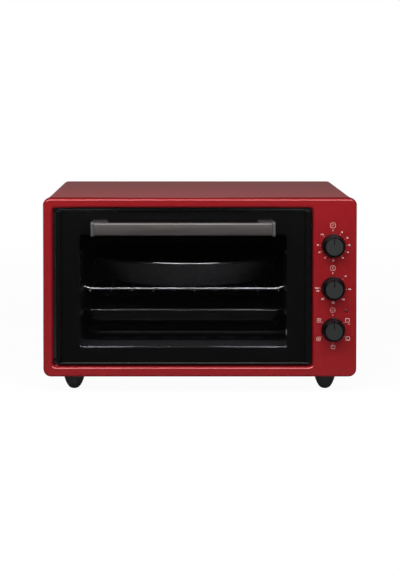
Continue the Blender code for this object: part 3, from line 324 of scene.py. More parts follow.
# A noise on Object coordinates, stretched by three factors.
def addNoise(material, scale, detail=3.0, stretch=(1, 1, 1)):
    links = material.node_tree.links
    place = addNode(material, "ShaderNodeTexCoord")
    mapping = addNode(material, "ShaderNodeMapping", Scale=stretch)
    noise = addNode(material, "ShaderNodeTexNoise", Scale=scale, Detail=detail)
    links.new(place.outputs["Object"], mapping.inputs["Vector"])
    links.new(mapping.outputs["Vector"], noise.inputs["Vector"])
    return noise.outputs["Fac"]


# A roughness that wanders between two values.
def addWear(material, shader, scale, low, high, detail=3.0, stretch=(1, 1, 1)):
    spread = addNode(material, "ShaderNodeMapRange", **{"To Min": low, "To Max": high})
    links = material.node_tree.links
    links.new(addNoise(material, scale, detail, stretch), spread.inputs["Value"])
    links.new(spread.outputs["Result"], shader.inputs["Roughness"])


def startMaterial(name):
    material = bpy.data.materials.new(name)
    material.use_nodes = True
    return material, material.node_tree.links, material.node_tree.nodes["Principled BSDF"]


# A finish: a colour that wanders a little, a roughness that wanders, and a fine bump.
def makeFinish(name, look):
    dark, light, (toneScale, wearScale, grainScale), roughness, grain, sockets, *brushed = look
    material, links, shader = startMaterial(name)
    for socket, value in sockets.items():
        shader.inputs[socket].default_value = value
    stretch = brushed[0] if brushed else (1, 1, 1)
    ramp = addNode(material, "ShaderNodeValToRGB")
    for stop, place, colour in zip(ramp.color_ramp.elements, toneStops, (dark, light)):
        stop.position, stop.color = place, linear(colour)
    links.new(addNoise(material, toneScale, 4.0, stretch), ramp.inputs["Fac"])
    links.new(ramp.outputs["Color"], shader.inputs["Base Color"])
    addWear(material, shader, wearScale, *roughness, stretch=stretch)
    bump = addNode(material, "ShaderNodeBump", Strength=grain, Distance=grainDepth)
    links.new(addNoise(material, grainScale, 2.0, stretch), bump.inputs["Height"])
    links.new(bump.outputs["Normal"], shader.inputs["Normal"])
    return material


# Each finish: its darkest and lightest colour, how fine the tone, the wear and the grain are,
# the roughness from and to, the depth of the grain, other sockets, and a stretch if it is brushed.
looks = {
    "redPaint": ((128, 20, 25), (133, 22, 27), (120, 40, 700), (0.16, 0.2), 0.03,
                 {"Metallic": 0.25, "Specular IOR Level": 0.7}),
    "redCover": ((114, 25, 27), (122, 30, 31), (700, 12, 600), (0.58, 0.68), 0.1,
                 {"Metallic": 0.0, "Specular IOR Level": 0.16, "Sheen Weight": 0.11,
                  "Sheen Roughness": 0.4}),
    "galvanised": ((148, 151, 155), (166, 168, 172), (260, 140, 300), (0.35, 0.55), 0.05,
                   {"Metallic": 0.35}),
    "aluminised": ((60, 60, 64), (76, 76, 80), (160, 160, 500), (0.2, 0.3), 0.04,
                   {"Metallic": 0.3}),
    "mouthSteel": ((104, 104, 108), (122, 122, 126), (160, 160, 500), (0.1, 0.14), 0.02,
                   {"Metallic": 0.9}),
    "blackEnamel": ((14, 14, 15), (20, 20, 21), (200, 40, 260), (0.12, 0.18), 0.04,
                    {"Specular IOR Level": 1.0, "Coat Weight": 0.6, "Coat Roughness": 0.08}),
    "doorEnamel": ((8, 8, 8), (11, 11, 11), (200, 40, 260), (0.16, 0.22), 0.04,
                   {"Specular IOR Level": 0.09}),
    "tinEnamel": ((14, 14, 15), (20, 20, 21), (300, 30, 300), (0.1, 0.18), 0.04,
                  {"Specular IOR Level": 0.6}),
    # The tin's greyer outside is painted light: a lit copy of its dark enamel for the near wall.
    "tinOutsidePaintedLight": ((66, 66, 68), (84, 84, 86), (200, 60, 300), (0.28, 0.4), 0.08,
                   {"Metallic": 0.4}),
    "blackPlastic": ((7, 7, 8), (11, 11, 12), (300, 50, 900), (0.1, 0.16), 0.03,
                     {"IOR": 1.08, "Coat Weight": 0.1, "Coat Roughness": 0.05}),
    "footPlastic": ((38, 38, 38), (47, 46, 46), (300, 70, 900), (0.32, 0.45), 0.08,
                    {"Specular IOR Level": 0.25}),
    "knobFace": ((30, 31, 31), (39, 40, 40), (800, 90, 2500), (0.45, 0.6), 0.12,
                 {"Specular IOR Level": 0.12}),
    "anthracite": ((74, 71, 70), (87, 84, 82), (160, 220, 500), (0.34, 0.44), 0.1,
                   {"Metallic": 0.7}, (0.06, 1, 1)),
    "handlePlastic": ((54, 53, 53), (65, 64, 63), (300, 120, 1200), (0.3, 0.4), 0.08,
                      {"Specular IOR Level": 0.35}),
    "panelPrint": ((226, 206, 202), (240, 224, 220), (900, 200, 900), (0.5, 0.6), 0.03,
                   {"Specular IOR Level": 0.2}),
    "blackPrint": ((5, 5, 5), (8, 8, 8), (400, 60, 900), (0.5, 0.6), 0.03,
                   {"Specular IOR Level": 0.1}),
    "chrome": ((190, 190, 194), (212, 212, 216), (120, 150, 600), (0.13, 0.19), 0.02,
               {"Metallic": 1.0}),
    "heaterSteel": ((30, 29, 28), (44, 42, 40), (90, 120, 900), (0.4, 0.55), 0.12,
                    {"Metallic": 0.8}),
    "steel": ((112, 113, 118), (140, 141, 146), (120, 90, 700), (0.28, 0.4), 0.06,
              {"Metallic": 1.0}),
    "ceramic": ((210, 205, 194), (228, 224, 214), (150, 80, 900), (0.5, 0.65), 0.1, {}),
    "brass": ((164, 132, 72), (186, 154, 90), (120, 90, 700), (0.22, 0.34), 0.05,
              {"Metallic": 1.0}),
    "lampRed": ((60, 10, 8), (78, 14, 11), (300, 200, 800), (0.12, 0.2), 0.03,
                {"Coat Weight": 0.3}),
}
finishes = {name: makeFinish(name, look) for name, look in looks.items()}


glassWear = {"scale": 25, "roughness": (0.01, 0.04)}


# Dark glass lets part of the light straight through, as a tinted pane does.
def makeGlass(name, colour, alpha, specular):
    material, links, shader = startMaterial(name)
    shader.inputs["Base Color"].default_value = linear(colour)
    shader.inputs["Alpha"].default_value = alpha
    shader.inputs["Specular IOR Level"].default_value = specular
    addWear(material, shader, glassWear["scale"], *glassWear["roughness"])
    return material


for name, alpha, specular in (("outerGlass", 0.16, 0.5), ("innerGlass", 0.06, 0.3)):
    finishes[name] = makeGlass(name, (4, 4, 5), alpha, specular)


# Places that several pieces share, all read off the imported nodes

# A node's outline seen from the front, as (left, right, low, high, radius).
def frontRect(node, radius, drop=0):
    low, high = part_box(node)
    return (low[0], high[0], low[2] - drop, high[2], radius)


def middleOf(node):
    low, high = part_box(node)
    return (np.array(low) + np.array(high)) / 2


# A node's middle as seen from the front, moved to a depth.
def atDepth(node, y):
    middle = middleOf(node)
    return (middle[0], y, middle[2])


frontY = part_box("front_frame")[0][1]
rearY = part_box("back_panel")[1][1]
corners = {"frame": 0.013, "cover": 0.0114, "back": 0.0098, "opening": 0.0115, "door": 0.004,
           "glass": 0.002, "window": 0.018, "mouth": 0.014}
frameDrop = 0.0010  # how far the frame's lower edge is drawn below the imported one
mouthLap, paneLap, flangeLap = 0.007, 0.012, 0.008  # how far hidden edges reach past an outline
frameRect = frontRect("front_frame", corners["frame"], frameDrop)
coverRect = frontRect("outer_cover", corners["cover"])
backRect = frontRect("back_panel", corners["back"])
openingRect = grown(frontRect("cavity_mouth", corners["opening"]), -mouthLap)
doorRect = frontRect("door_frame", corners["door"])
glassRect = frontRect("door_glass_outer", corners["glass"])
windowRect = grown(frontRect("door_glass_inner", corners["window"]), -paneLap)
mouthRect = grown(frontRect("cavity_back", corners["mouth"]), -flangeLap)
knobMiddles = {name: middleOf(name + "_knob") for name in ("timer", "thermostat", "selector")}


# Rows of a quarter round between two (growth, level) places of one outline. The first
# direction is covered as the sine of the turn, the other as one less its cosine.
def roundedStep(rect, start, end, first, steps=8):
    turn = np.linspace(0, math.pi / 2, steps + 1)
    quick, slow = np.sin(turn), 1 - np.cos(turn)
    growth = start[0] + (end[0] - start[0]) * (quick if first == "growth" else slow)
    level = start[1] + (end[1] - start[1]) * (slow if first == "growth" else quick)
    return [(rect, *place) for place in zip(growth, level)]


# Rows that ease from one (growth, level) place to another, as a cosine wave does.
def easedStep(rect, start, end, steps=10):
    share = np.linspace(0, 1, steps + 1)
    level = start[1] + (end[1] - start[1]) * (1 - np.cos(share * math.pi)) / 2
    growth = start[0] + (end[0] - start[0]) * share
    return [(rect, *place) for place in zip(growth, level)]


# Rings of rows of (outline, growth, depth behind the oven's front).
def standing(rows, steps=10):
    return grownRows("Y", rows, steps, frontY)


# A node's front and rear, as depths behind the oven's front.
def depthsOf(node):
    return [corner[1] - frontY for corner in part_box(node)]


# The cutters of the hinge pins' bores.
def pinBores(radius, sides=("left", "right")):
    return [boreRings(radius, middleOf("hinge_pin_" + side), "right", 24, 0.02)
            for side in sides]


# Housing

frameShape = {"sheet": 0.0012, "depth": 0.014, "edge": 0.0044, "edgeDeep": 0.0074,
              "rim": 0.0059, "rimDeep": 0.0103, "hold": 0.0003, "knobHole": 0.0052,
              "lampHole": 0.0028, "pinHole": 0.0024}


# The painted front: a skin from the turned-back outer edge over the rounded front edge,
# across the flat face, over the rolled rim of the opening and back along its collar. Both
# rounds are quarters of an ellipse, deeper than they are wide.
def makeFrontFrame(shape):
    sheet, depth, edge, edgeDeep = (shape[key] for key in ("sheet", "depth", "edge", "edgeDeep"))
    rim, rimDeep, hold = shape["rim"], shape["rimDeep"], shape["hold"]
    rows = [(frameRect, -sheet, depth), (frameRect, 0, depth), (frameRect, 0, edgeDeep + hold)]
    rows += roundedStep(frameRect, (0, edgeDeep), (-edge, 0), "level", 12)
    rows += [(frameRect, -edge - hold, 0), (openingRect, rim + hold, 0)]
    rows += roundedStep(openingRect, (rim, 0), (0, rimDeep), "growth", 12)
    rows += [(openingRect, 0, rimDeep + hold), (openingRect, 0, depth),
             (openingRect, sheet, depth),
             (openingRect, sheet, rimDeep + sheet), (openingRect, rim + sheet, sheet),
             (frameRect, -edge, sheet), (frameRect, -sheet, edgeDeep)]
    face = addSkin("frontFrame", standing(rows), "housing", "redPaint",
                   ["front_frame"], closed=True)
    holes = [boreRings(shape["knobHole"], atDepth(control + "_knob", frontY), "rear", 48)
             for control in knobMiddles]
    holes.append(boreRings(shape["lampHole"], atDepth("indicator_lens", frontY), "rear", 32))
    pierce(face, [*holes, *pinBores(shape["pinHole"])])


ventShape = {"length": 0.046, "width": 0.0036, "pitch": 0.0095}
cutReach = 0.004  # how far a cutter reaches past the sheet


# Cutters of vents through a sheet: a column of slots on each middle, one at each level.
def ventCutters(axis, middles, levels, start, end):
    half, wide = ventShape["length"] / 2, ventShape["width"] / 2
    slots = [(middle - half, middle + half, level - wide, level + wide, wide)
             for middle in middles for level in levels]
    return [rowsAlong(axis, [slot, slot], (start, end), hold=0) for slot in slots]


coverShape = {"corner": 0.0114, "sheet": 0.0012, "flange": 0.018, "hold": 0.0008,
              "ventRows": 6, "ventDrop": 0.0445, "ventFront": 0.075, "ventRear": 0.085}


# The painted wrap: a path up one side, over the top and down the other, offset by the
# sheet, each point of it carried straight back from the frame to the rear.
def makeOuterCover(shape):
    left, right, low, high = coverRect[:4]
    start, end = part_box("outer_cover")[0][1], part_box("outer_cover")[1][1]

    def path(inset):
        corners = [(left + shape["flange"], low + inset), (left + inset, low + inset),
                   (left + inset, high - inset), (right - inset, high - inset),
                   (right - inset, low + inset), (right - shape["flange"], low + inset)]
        return roundedPath(corners, shape["corner"] - inset, 14, hold=shape["hold"])

    outer, inner = path(0), path(shape["sheet"])
    sides = stoodAt((outer, outer, inner, inner), (start, end, end, start))
    cover = addSkin("outerCover", sides.swapaxes(0, 1), "housing", "redCover",
                    ["outer_cover"])
    levels = frameRect[3] - shape["ventDrop"] - np.arange(shape["ventRows"]) * ventShape["pitch"]
    middles = (frontY + shape["ventFront"], rearY - shape["ventRear"])
    pierce(cover, ventCutters("X", middles, levels, right - cutReach, right + cutReach))


backShape = {"sheet": 0.0010, "flange": 0.010, "edge": 0.002, "margin": 0.030, "sunk": 0.003,
             "corner": 0.012, "hold": 0.0004, "slope": 0.004, "ventRows": 6,
             "ventDrop": 0.0545, "ventSpread": 0.075, "glandHole": 0.0089}


# The plated back: a folded edge, a flat border and a pressed field, which eases down
# over its slope as a cosine wave.
def makeBackPanel(shape):
    sheet, edge, hold, sunk = shape["sheet"], shape["edge"], shape["hold"], shape["sunk"]
    rear = rearY - frontY
    field = (*grown(backRect, -shape["margin"])[:4], shape["corner"])
    rows = easedStep(field, (-shape["slope"], rear - sunk - sheet), (0, rear - sheet))
    rows += [(backRect, -sheet - edge, rear - sheet), (backRect, -sheet, rear - sheet - edge),
             (backRect, -sheet, rear - shape["flange"]), (backRect, 0, rear - shape["flange"]),
             (backRect, 0, rear - edge - hold)]
    rows += roundedStep(backRect, (0, rear - edge), (-edge, rear), "level")
    rows += [(backRect, -edge - hold, rear), (field, hold, rear)]
    rows += easedStep(field, (0, rear), (-shape["slope"], rear - sunk))
    rows += [(field, -shape["slope"] - hold, rear - sunk)]
    rows.insert(0, (field, -shape["slope"] - hold, rear - sunk - sheet))
    panel = addSkin("backPanel", standing(rows), "housing", "galvanised",
                    ["back_panel"])
    levels = frameRect[3] - shape["ventDrop"] - np.arange(shape["ventRows"]) * ventShape["pitch"]
    cuts = ventCutters("Y", (-shape["ventSpread"], shape["ventSpread"]), levels,
                       rearY - 2 * cutReach, rearY + cutReach)
    cuts.append(boreRings(shape["glandHole"], atDepth("inlet_gland", rearY), "rear", 48))
    pierce(panel, cuts)


baseShape = {"sheet": 0.0010, "rim": 0.008, "edge": 0.002, "corner": 0.003, "hold": 0.0004,
             "ventRows": 5, "ventSpread": 0.060}


# The plated pan under the body: a floor with a rounded edge and a turned-up rim.
def makeBasePanel(shape):
    low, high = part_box("base_panel")
    plan = (low[0], high[0], low[1], high[1], shape["corner"])
    sheet, edge, base = shape["sheet"], shape["edge"], low[2]
    rows = [(plan, -sheet - edge, base + sheet), (plan, -sheet, base + sheet + edge),
            (plan, -sheet, base + shape["rim"]), (plan, 0, base + shape["rim"]),
            (plan, 0, base + edge + shape["hold"])]
    rows += roundedStep(plan, (0, base + edge), (-edge, base), "level")
    rows += [(plan, -edge - shape["hold"], base)]
    panel = addSkin("basePanel", grownRows("Z", rows, 6), "housing", "galvanised",
                    ["base_panel"])
    count, middle = shape["ventRows"], (low[1] + high[1]) / 2
    levels = middle + (np.arange(count) - (count - 1) / 2) * ventShape["pitch"]
    pierce(panel, ventCutters("Z", (-shape["ventSpread"], shape["ventSpread"]), levels,
                              base - cutReach, base + cutReach))


footShape = {"topRadius": 0.0199, "curve": 0.35, "tipShare": 0.014, "padRadius": 0.0030,
             "topEase": 0.0004, "hold": 0.0001, "steps": 26, "crowding": 1.6, "segments": 64}


# A foot turned round its upright axis. Its radius grows as a power of its height.
def makeFeet(shape):
    share = np.linspace(0, 1, shape["steps"]) ** shape["crowding"]
    tip, hold = shape["tipShare"], shape["hold"]
    curve = shape["topRadius"] * (tip + (1 - tip) * share) ** shape["curve"]
    for side in ("front_left", "front_right", "rear_left", "rear_right"):
        low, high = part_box("foot_" + side)
        centre = ((low[0] + high[0]) / 2, (low[1] + high[1]) / 2, low[2])
        height = high[2] - low[2]
        profile = [(shape["padRadius"], 0), *zip(curve, share * (height - 2 * hold) + hold),
                   (shape["topRadius"] - shape["topEase"], height)]
        addSkin("foot_" + side, latheRings(profile, centre, "up", shape["segments"]), "housing",
                "footPlastic", ["foot_" + side])


# The pan heads of the back's screws: low domes, flat on top, with a crossed recess cut
# into each.
screwShape = {"radius": 0.0034, "round": 0.0012, "rise": 0.0017, "recess": 0.0011,
              "arm": 0.0019, "blade": 0.00035, "sunk": 0.0002, "crown": 0.00015,
              "segments": 28, "inset": 0.013, "across": (-0.225, -0.075, 0.075, 0.225),
              "up": (0.105, 0.235)}


def makeBackScrews(shape):
    left, right, low, high = backRect[:4]
    inset, radius, bend, rise = (shape[key] for key in ("inset", "radius", "round", "rise"))
    places = [(x, rearY, z) for x in shape["across"] for z in (low + inset, high - inset)]
    places += [(x, rearY, z) for z in shape["up"] for x in (left + inset, right - inset)]
    profile = [(radius, -shape["sunk"]), *quarterRound(radius - bend, radius, rise, rise),
               (bend, rise + shape["crown"])]
    heads = [latheRings(profile, place, "rear", shape["segments"]) for place in places]
    screws = addPiece("backScrews", [skinArrays(head) for head in heads], "housing", "steel")
    arm, blade, top = shape["arm"], shape["blade"], rearY + rise
    for wide, tall in ((arm, blade), (blade, arm)):
        slots = [(x - wide, x + wide, z - tall, z + tall, 0.0001) for x, y, z in places]
        pierce(screws, [rowsAlong("Y", [slot, slot], (top - shape["recess"], top + 0.001), 2, 0)
                        for slot in slots])


# Mains inlet: a collar with grip ribs and an open bore, turned round an axis to the rear.
# The flange and the neck are given by (radius past it, height over the seat or the end).
glandShape = {"bore": 0.0042, "neck": 0.0085, "flange": 0.0125, "ribs": 12, "ribDepth": 0.0006,
              "gap": 0.0004, "segments": 96, "flangeTop": ((0, 0.0035), (-0.0006, 0.0042)),
              "neckFoot": ((0.0012, 0.0044), (0.0006, 0.0050)),
              "neckEnd": ((0.0002, -0.0012), (-0.0012, 0)),
              "boreEnd": ((0.0008, 0), (0, -0.0008))}


def makeGland(shape):
    start, end = (corner[1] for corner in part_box("inlet_gland"))
    flange, neck, bore, count = (shape[key] for key in ("flange", "neck", "bore", "segments"))
    seat = rearY - backShape["sunk"] + shape["gap"]
    profile = [(bore, start), (neck, start), (neck, seat), (flange, seat)]
    for key, radius, height in (("flangeTop", flange, seat), ("neckFoot", neck, seat),
                                ("neckEnd", neck, end), ("boreEnd", bore, end)):
        profile += [(radius + out, height + up) for out, up in shape[key]]
    centre = np.array(atDepth("inlet_gland", 0))
    rings = latheRings(profile, centre, "rear", count)
    angle = np.arange(count) / count * 2 * math.pi
    waves = 1 - shape["ribDepth"] / flange * (1 + np.cos(angle * shape["ribs"])) / 2
    rim = slice(3, 6)  # the rows of the flange
    offset = rings[rim] - centre
    offset[..., 0] *= waves
    offset[..., 2] *= waves
    rings[rim] = centre + offset
    addSkin("inletGland", rings, "housing", "blackPlastic", ["inlet_gland"],
            closed=True)


makeFrontFrame(frameShape)
makeOuterCover(coverShape)
makeBackPanel(backShape)
makeBasePanel(baseShape)
makeFeet(footShape)
makeBackScrews(screwShape)
makeGland(glandShape)
print("stage: housing made")


# Cavity

mouthShape = {"sheet": 0.0010, "collar": 0.0056, "lipFoot": 0.0010, "lipTop": 0.0014,
              "lipDeep": 0.0009, "crest": 0.0004, "hold": 0.0003}


# The plate round the cavity's mouth. Its lip slopes up to a low crest, behind which the
# short collar falls back to the wall.
def makeCavityMouth(shape):
    sheet, hold, foot, top, crest = (shape[key]
                                     for key in ("sheet", "hold", "lipFoot", "lipTop", "crest"))
    front = depthsOf("cavity_mouth")[0]
    collar, inner = front + shape["collar"], front + shape["lipDeep"]
    rows = [(openingRect, mouthLap, front + sheet), (openingRect, mouthLap, front),
            (mouthRect, foot + hold, front), (mouthRect, foot, front),
            (mouthRect, crest - top, inner)]
    rows += roundedStep(mouthRect, (crest - top, inner), (-top, inner + crest), "growth", 3)
    rows += [(mouthRect, -top, inner + 2 * crest), (mouthRect, 0, collar),
             (mouthRect, sheet, collar),
             (mouthRect, sheet - top, inner + crest + sheet),
             (mouthRect, foot + sheet, front + sheet)]
    addSkin("cavityMouth", standing(rows), "housing", "mouthSteel",
            ["cavity_mouth"], closed=True)


wrapShape = {"sheet": 0.0010, "corner": 0.006, "beadDepth": 0.007, "beadTop": 0.003,
             "beadFoot": 0.006, "bend": 0.0012, "ledges": (0.270, 0.456, 0.751),
             "padColumns": 6, "padRows": 5, "padWide": 0.028, "padLong": 0.030,
             "padPitchX": 0.050, "padPitchY": 0.046, "padFirst": 0.0976, "padRise": 0.0015,
             "padSlope": 0.0009, "padCorner": 0.004, "padSunk": 0.0006}


# The cavity's wall seen from the front: a rounded rectangle with a pressed bead under
# each ledge of both sides, every corner turned by an arc.
def cavityLoop(shape, outset):
    left, right, low, high = grown(mouthRect, outset)[:4]

    def beads(wall, inward):
        points = []
        for share in shape["ledges"]:
            ledge = mouthRect[2] + share * (mouthRect[3] - mouthRect[2])
            nose = wall + inward * shape["beadDepth"]
            points += [(wall, ledge - shape["beadTop"] - shape["beadFoot"] - outset * 0.5),
                       (nose, ledge - shape["beadTop"] + outset * 0.5),
                       (nose, ledge - outset), (wall, ledge - outset)]
        return points

    corners = [(left, low), (right, low), *beads(right, -1), (right, high), (left, high),
               *beads(left, 1)[::-1]]
    mouth, bend = shape["corner"] + outset, shape["bend"]
    bends = [bend] * (4 * len(shape["ledges"]))
    return roundedPath(corners, [mouth, mouth, *bends, mouth, mouth, *bends], 4, closed=True,
                       hold=0.0004)


# The wrap carries that loop from the mouth to the rear, with rows of pressed pads on
# its floor. A pad eases up over its slope as a cosine wave.
def makeCavityWrap(shape):
    low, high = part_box("cavity_wrap")
    front, rear = low[1], high[1]
    inner, outer = cavityLoop(shape, 0), cavityLoop(shape, shape["sheet"])
    rings = stoodAt((inner, inner, outer, outer), (front, rear, rear, front))
    parts = [skinArrays(rings, closedRows=True)]
    middle = (mouthRect[0] + mouthRect[1]) / 2
    floor, slope = mouthRect[2], shape["padSlope"]
    for column in range(shape["padColumns"]):
        x = middle + (column - (shape["padColumns"] - 1) / 2) * shape["padPitchX"]
        for row in range(shape["padRows"]):
            y = front + shape["padFirst"] + row * shape["padPitchY"]
            pad = (x - shape["padWide"] / 2, x + shape["padWide"] / 2,
                   y - shape["padLong"] / 2, y + shape["padLong"] / 2, shape["padCorner"])
            rows = [(pad, 0, floor - shape["padSunk"]), (pad, 0, floor - 0.0001)]
            rows += easedStep(pad, (0, floor), (-slope, floor + shape["padRise"]), 6)
            rows += [(pad, -slope - shape["padSunk"], floor + shape["padRise"])]
            parts.append(skinArrays(grownRows("Z", rows, 4)))
    addPiece("cavityWrap", parts, "housing", "aluminised", ["cavity_wrap"])


cavityBackShape = {"sheet": 0.0010, "margin": 0.040, "corner": 0.014, "emboss": 0.004,
                   "slope": 0.006, "hold": 0.001}


# The cavity's back: a flat border and a pressed field, which eases in over its slope as a
# cosine wave.
def makeCavityBack(shape):
    sheet, slope = shape["sheet"], shape["slope"]
    rear = depthsOf("cavity_back")[1]
    front = rear - sheet
    field = (*grown(mouthRect, -shape["margin"])[:4], shape["corner"])
    hold, emboss = shape["hold"], shape["emboss"]
    rows = [(field, -slope - hold, front - emboss)]
    rows += easedStep(field, (-slope, front - emboss), (0, front))
    rows += [(field, hold, front), (mouthRect, flangeLap, front), (mouthRect, flangeLap, rear),
             (field, hold, rear)]
    rows += easedStep(field, (0, rear), (-slope, rear - emboss))
    rows += [(field, -slope - hold, rear - emboss)]
    addSkin("cavityBack", standing(rows), "housing", "aluminised",
            ["cavity_back"])


heaterShape = {"radius": 0.00325, "runs": 6, "pitch": 0.057, "sideGap": 0.013, "end": 0.004,
               "sides": 16, "turnSteps": 14}


# A heater's path: straight runs from side to side, joined by half circles, with both
# ends out through the right wall.
def makeHeater(name, node, shape):
    low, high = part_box(node)
    z = (low[2] + high[2]) / 2
    first = low[1] + shape["radius"]
    turn = shape["pitch"] / 2
    near = mouthRect[1] - shape["sideGap"] - turn
    far = mouthRect[0] + shape["sideGap"] + turn
    angle = np.linspace(0, math.pi, shape["turnSteps"])
    points = [np.array([(high[0], first, z), (high[0] - shape["end"], first, z),
                        (near, first, z)])]
    for run in range(shape["runs"] - 1):
        stop, side = (far, -1) if run % 2 == 0 else (near, 1)
        y = first + run * shape["pitch"]
        points.append(np.stack((stop + side * turn * np.sin(angle), y + turn * (1 - np.cos(angle)),
                                np.full(len(angle), z)), -1))
    last = first + (shape["runs"] - 1) * shape["pitch"]
    points.append(np.array([(near, last, z), (high[0] - shape["end"], last, z),
                            (high[0], last, z)]))
    path = np.concatenate(points)
    addSkin(name, tubeRings(path, shape["radius"], shape["sides"]), "housing", "heaterSteel",
            [node])


makeCavityMouth(mouthShape)
makeCavityWrap(wrapShape)
makeCavityBack(cavityBackShape)
makeHeater("lowerHeater", "lower_heater", heaterShape)
makeHeater("upperHeater", "upper_heater", heaterShape)
print("stage: cavity made")


# Door

doorShape = {"thickness": 0.013, "edge": 0.002, "sheet": 0.0010, "pocketGap": 0.0004,
             "pinHole": 0.0024, "hold": 0.0003}


# The black pan: a block with a rounded front edge, cut by the glass pocket, the hollow
# behind it, the window and the holes of the hinge pins.
def makeDoorPan(shape):
    thickness, edge, hold = shape["thickness"], shape["edge"], shape["hold"]
    rows = [(doorRect, 0, thickness), (doorRect, 0, edge + hold)]
    rows += roundedStep(doorRect, (0, edge), (-edge, 0), "level")
    rows += [(doorRect, -edge - hold, 0)]
    pan = addSkin("doorPan", standing(rows), "door", "doorEnamel",
                  ["door_frame"])
    gap, sheet = shape["pocketGap"], shape["sheet"]
    floor = depthsOf("door_glass_outer")[1] + gap
    pierce(pan, [standing([(glassRect, gap, -cutReach), (glassRect, gap, floor)])])
    pierce(pan, [standing([(doorRect, -sheet, floor + sheet),
                           (doorRect, -sheet, thickness + cutReach)])])
    pierce(pan, [standing([(windowRect, 0, 0), (windowRect, 0, thickness)]),
                 *pinBores(shape["pinHole"])])


paneShape = {"round": 0.0010, "hold": 0.0002, "steps": 5}


# A pane: a slab whose four long edges are ground round, front and back.
def makePane(name, node, rect, finish, shape):
    start, end = depthsOf(node)
    bend, hold, steps = shape["round"], shape["hold"], shape["steps"]
    rows = [(rect, -bend - hold, end)]
    rows += roundedStep(rect, (-bend, end), (0, end - bend), "growth", steps)
    rows += roundedStep(rect, (0, start + bend), (-bend, start), "level", steps)
    rows += [(rect, -bend - hold, start)]
    addSkin(name, standing(rows, 6), "door", finish, [node])


# The printed border lies on the back of the outer pane and leaves the clear window.
borderShape = {"inset": 0.0006, "lap": 0.0030, "lapBelow": 0.0013, "gap": 0.0001,
               "thickness": 0.0002}


def makeGlassBorder(shape):
    rear = depthsOf("door_glass_outer")[1] + shape["gap"]
    left, right, low, high, radius = grown(windowRect, -shape["lap"])
    clear = (left, right, low - shape["lap"] + shape["lapBelow"], high, radius)
    rows = [(glassRect, -shape["inset"], rear),
            (glassRect, -shape["inset"], rear + shape["thickness"]),
            (clear, 0, rear + shape["thickness"]), (clear, 0, rear)]
    addSkin("glassBorder", standing(rows), "door", "blackPrint", closed=True)


linerShape = {"sheet": 0.0010, "hold": 0.0003, "edge": 0.0004}


# The plate on the cavity's side of the door, with eased edges round it and its window.
def makeDoorLiner(shape):
    rect = frontRect("door_back_frame", 0.003)
    start, end = depthsOf("door_back_frame")
    edge = shape["edge"]
    rows = [(rect, -edge, start), (rect, 0, start + edge), (rect, 0, end - edge),
            (rect, -edge, end),
            (rect, -edge - shape["hold"], end), (windowRect, edge + shape["hold"], end),
            (windowRect, edge, end), (windowRect, 0, end - edge), (windowRect, 0, start)]
    addSkin("doorLiner", standing(rows), "door", "doorEnamel",
            ["door_back_frame"], closed=True)


handleShape = {"crown": 0.0018, "barEdge": 0.0025, "capEdge": 0.0030, "capRound": 0.0012,
               "armEdge": 0.0030, "armRound": 0.0012, "armWaist": 0.0006, "hold": 0.0004,
               "steps": 8}


# A section in Y and Z, carried along X. Its front face is crowned: it stands back by the
# crown times the square of the height from the middle.
def crowned(rings, rect, crown):
    front, rear, low, high = rect[:4]
    middle, half = (low + high) / 2, (high - low) / 2
    share = (rings[..., 2] - middle) / half
    rings[..., 1] += crown * share ** 2 * (rear - rings[..., 1]) / (rear - front)
    return rings


# The bar, its two end caps with a rounded outer end, and the two waisted arms.
def makeHandle(shape):
    hold, steps = shape["hold"], shape["steps"]

    def section(node, radius):
        low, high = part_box(node)
        return (low[1], high[1], low[2], high[2], radius), low[0], high[0]

    rect, left, right = section("handle_bar", shape["barEdge"])
    rings = rowsAlong("X", [rect] * 4, (left, left + hold, right - hold, right), steps)
    addSkin("handleBar", crowned(rings, rect, shape["crown"]), "door", "anthracite",
            ["handle_bar"])
    for side, outward in (("left", -1), ("right", 1)):
        rect, left, right = section("handle_cap_" + side, shape["capEdge"])
        near, far = (right, left) if outward < 0 else (left, right)
        bend = shape["capRound"]
        rows = [(rect, -hold, near), (rect, 0, near + outward * hold),
                (rect, 0, far - outward * (bend + hold))]
        rows += roundedStep(rect, (0, far - outward * bend), (-bend, far), "level", 6)
        rings = crowned(grownRows("X", rows, steps), rect, shape["crown"])
        addSkin("handleCap_" + side, rings, "door", "handlePlastic",
                ["handle_cap_" + side])
        node = "handle_arm_" + side
        rect = frontRect(node, shape["armEdge"])
        start, end = depthsOf(node)
        bend, near = shape["armRound"], shape["armRound"] + hold
        rows = [(rect, -bend, start)]
        rows += roundedStep(rect, (-bend, start), (0, start + bend), "growth", 5)
        rows += [(rect, 0, start + near), (rect, -shape["armWaist"], (start + end) / 2),
                 (rect, 0, end - near), (rect, 0, end - hold), (rect, -0.0003, end)]
        addSkin("handleArm_" + side, standing(rows, steps), "door", "footPlastic",
                [node])


# A thin pale strip along the door's lower edge: a painted highlight standing for the lit bottom
# edge of the glass.
glassHighlightShape = {"inset": 0.0040, "rise": 0.0013, "proud": 0.0002, "sunk": 0.0022}


def makeGlassEdgeHighlight(shape):
    low = doorRect[2]
    rect = (glassRect[0], doorRect[1] - shape["inset"], low + 0.0001, low + shape["rise"], 0.0004)
    rows = [(rect, 0, shape["sunk"]), (rect, 0, 0), (rect, -0.0002, -shape["proud"])]
    # The strip's pale plastic is a painted highlight along the glass's bottom edge.
    addSkin("glassEdgeHighlight", standing(rows, 4), "door", "handlePlastic")


# The bearings of the hinge pins. They start far enough back to stay behind the rim.
hingeShape = {"front": 0.0042, "corner": 0.0015, "bore": 0.0022}


def makeHingeBrackets(shape):
    for side in ("left", "right"):
        low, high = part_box("hinge_bracket_" + side)
        rect = (frontY + shape["front"], high[1], low[2], high[2], shape["corner"])
        bracket = addSkin("hingeBracket_" + side,
                          rowsAlong("X", [rect, rect], (low[0], high[0]), 6),
                          "housing", "steel", ["hinge_bracket_" + side])
        pierce(bracket, pinBores(shape["bore"], [side]))


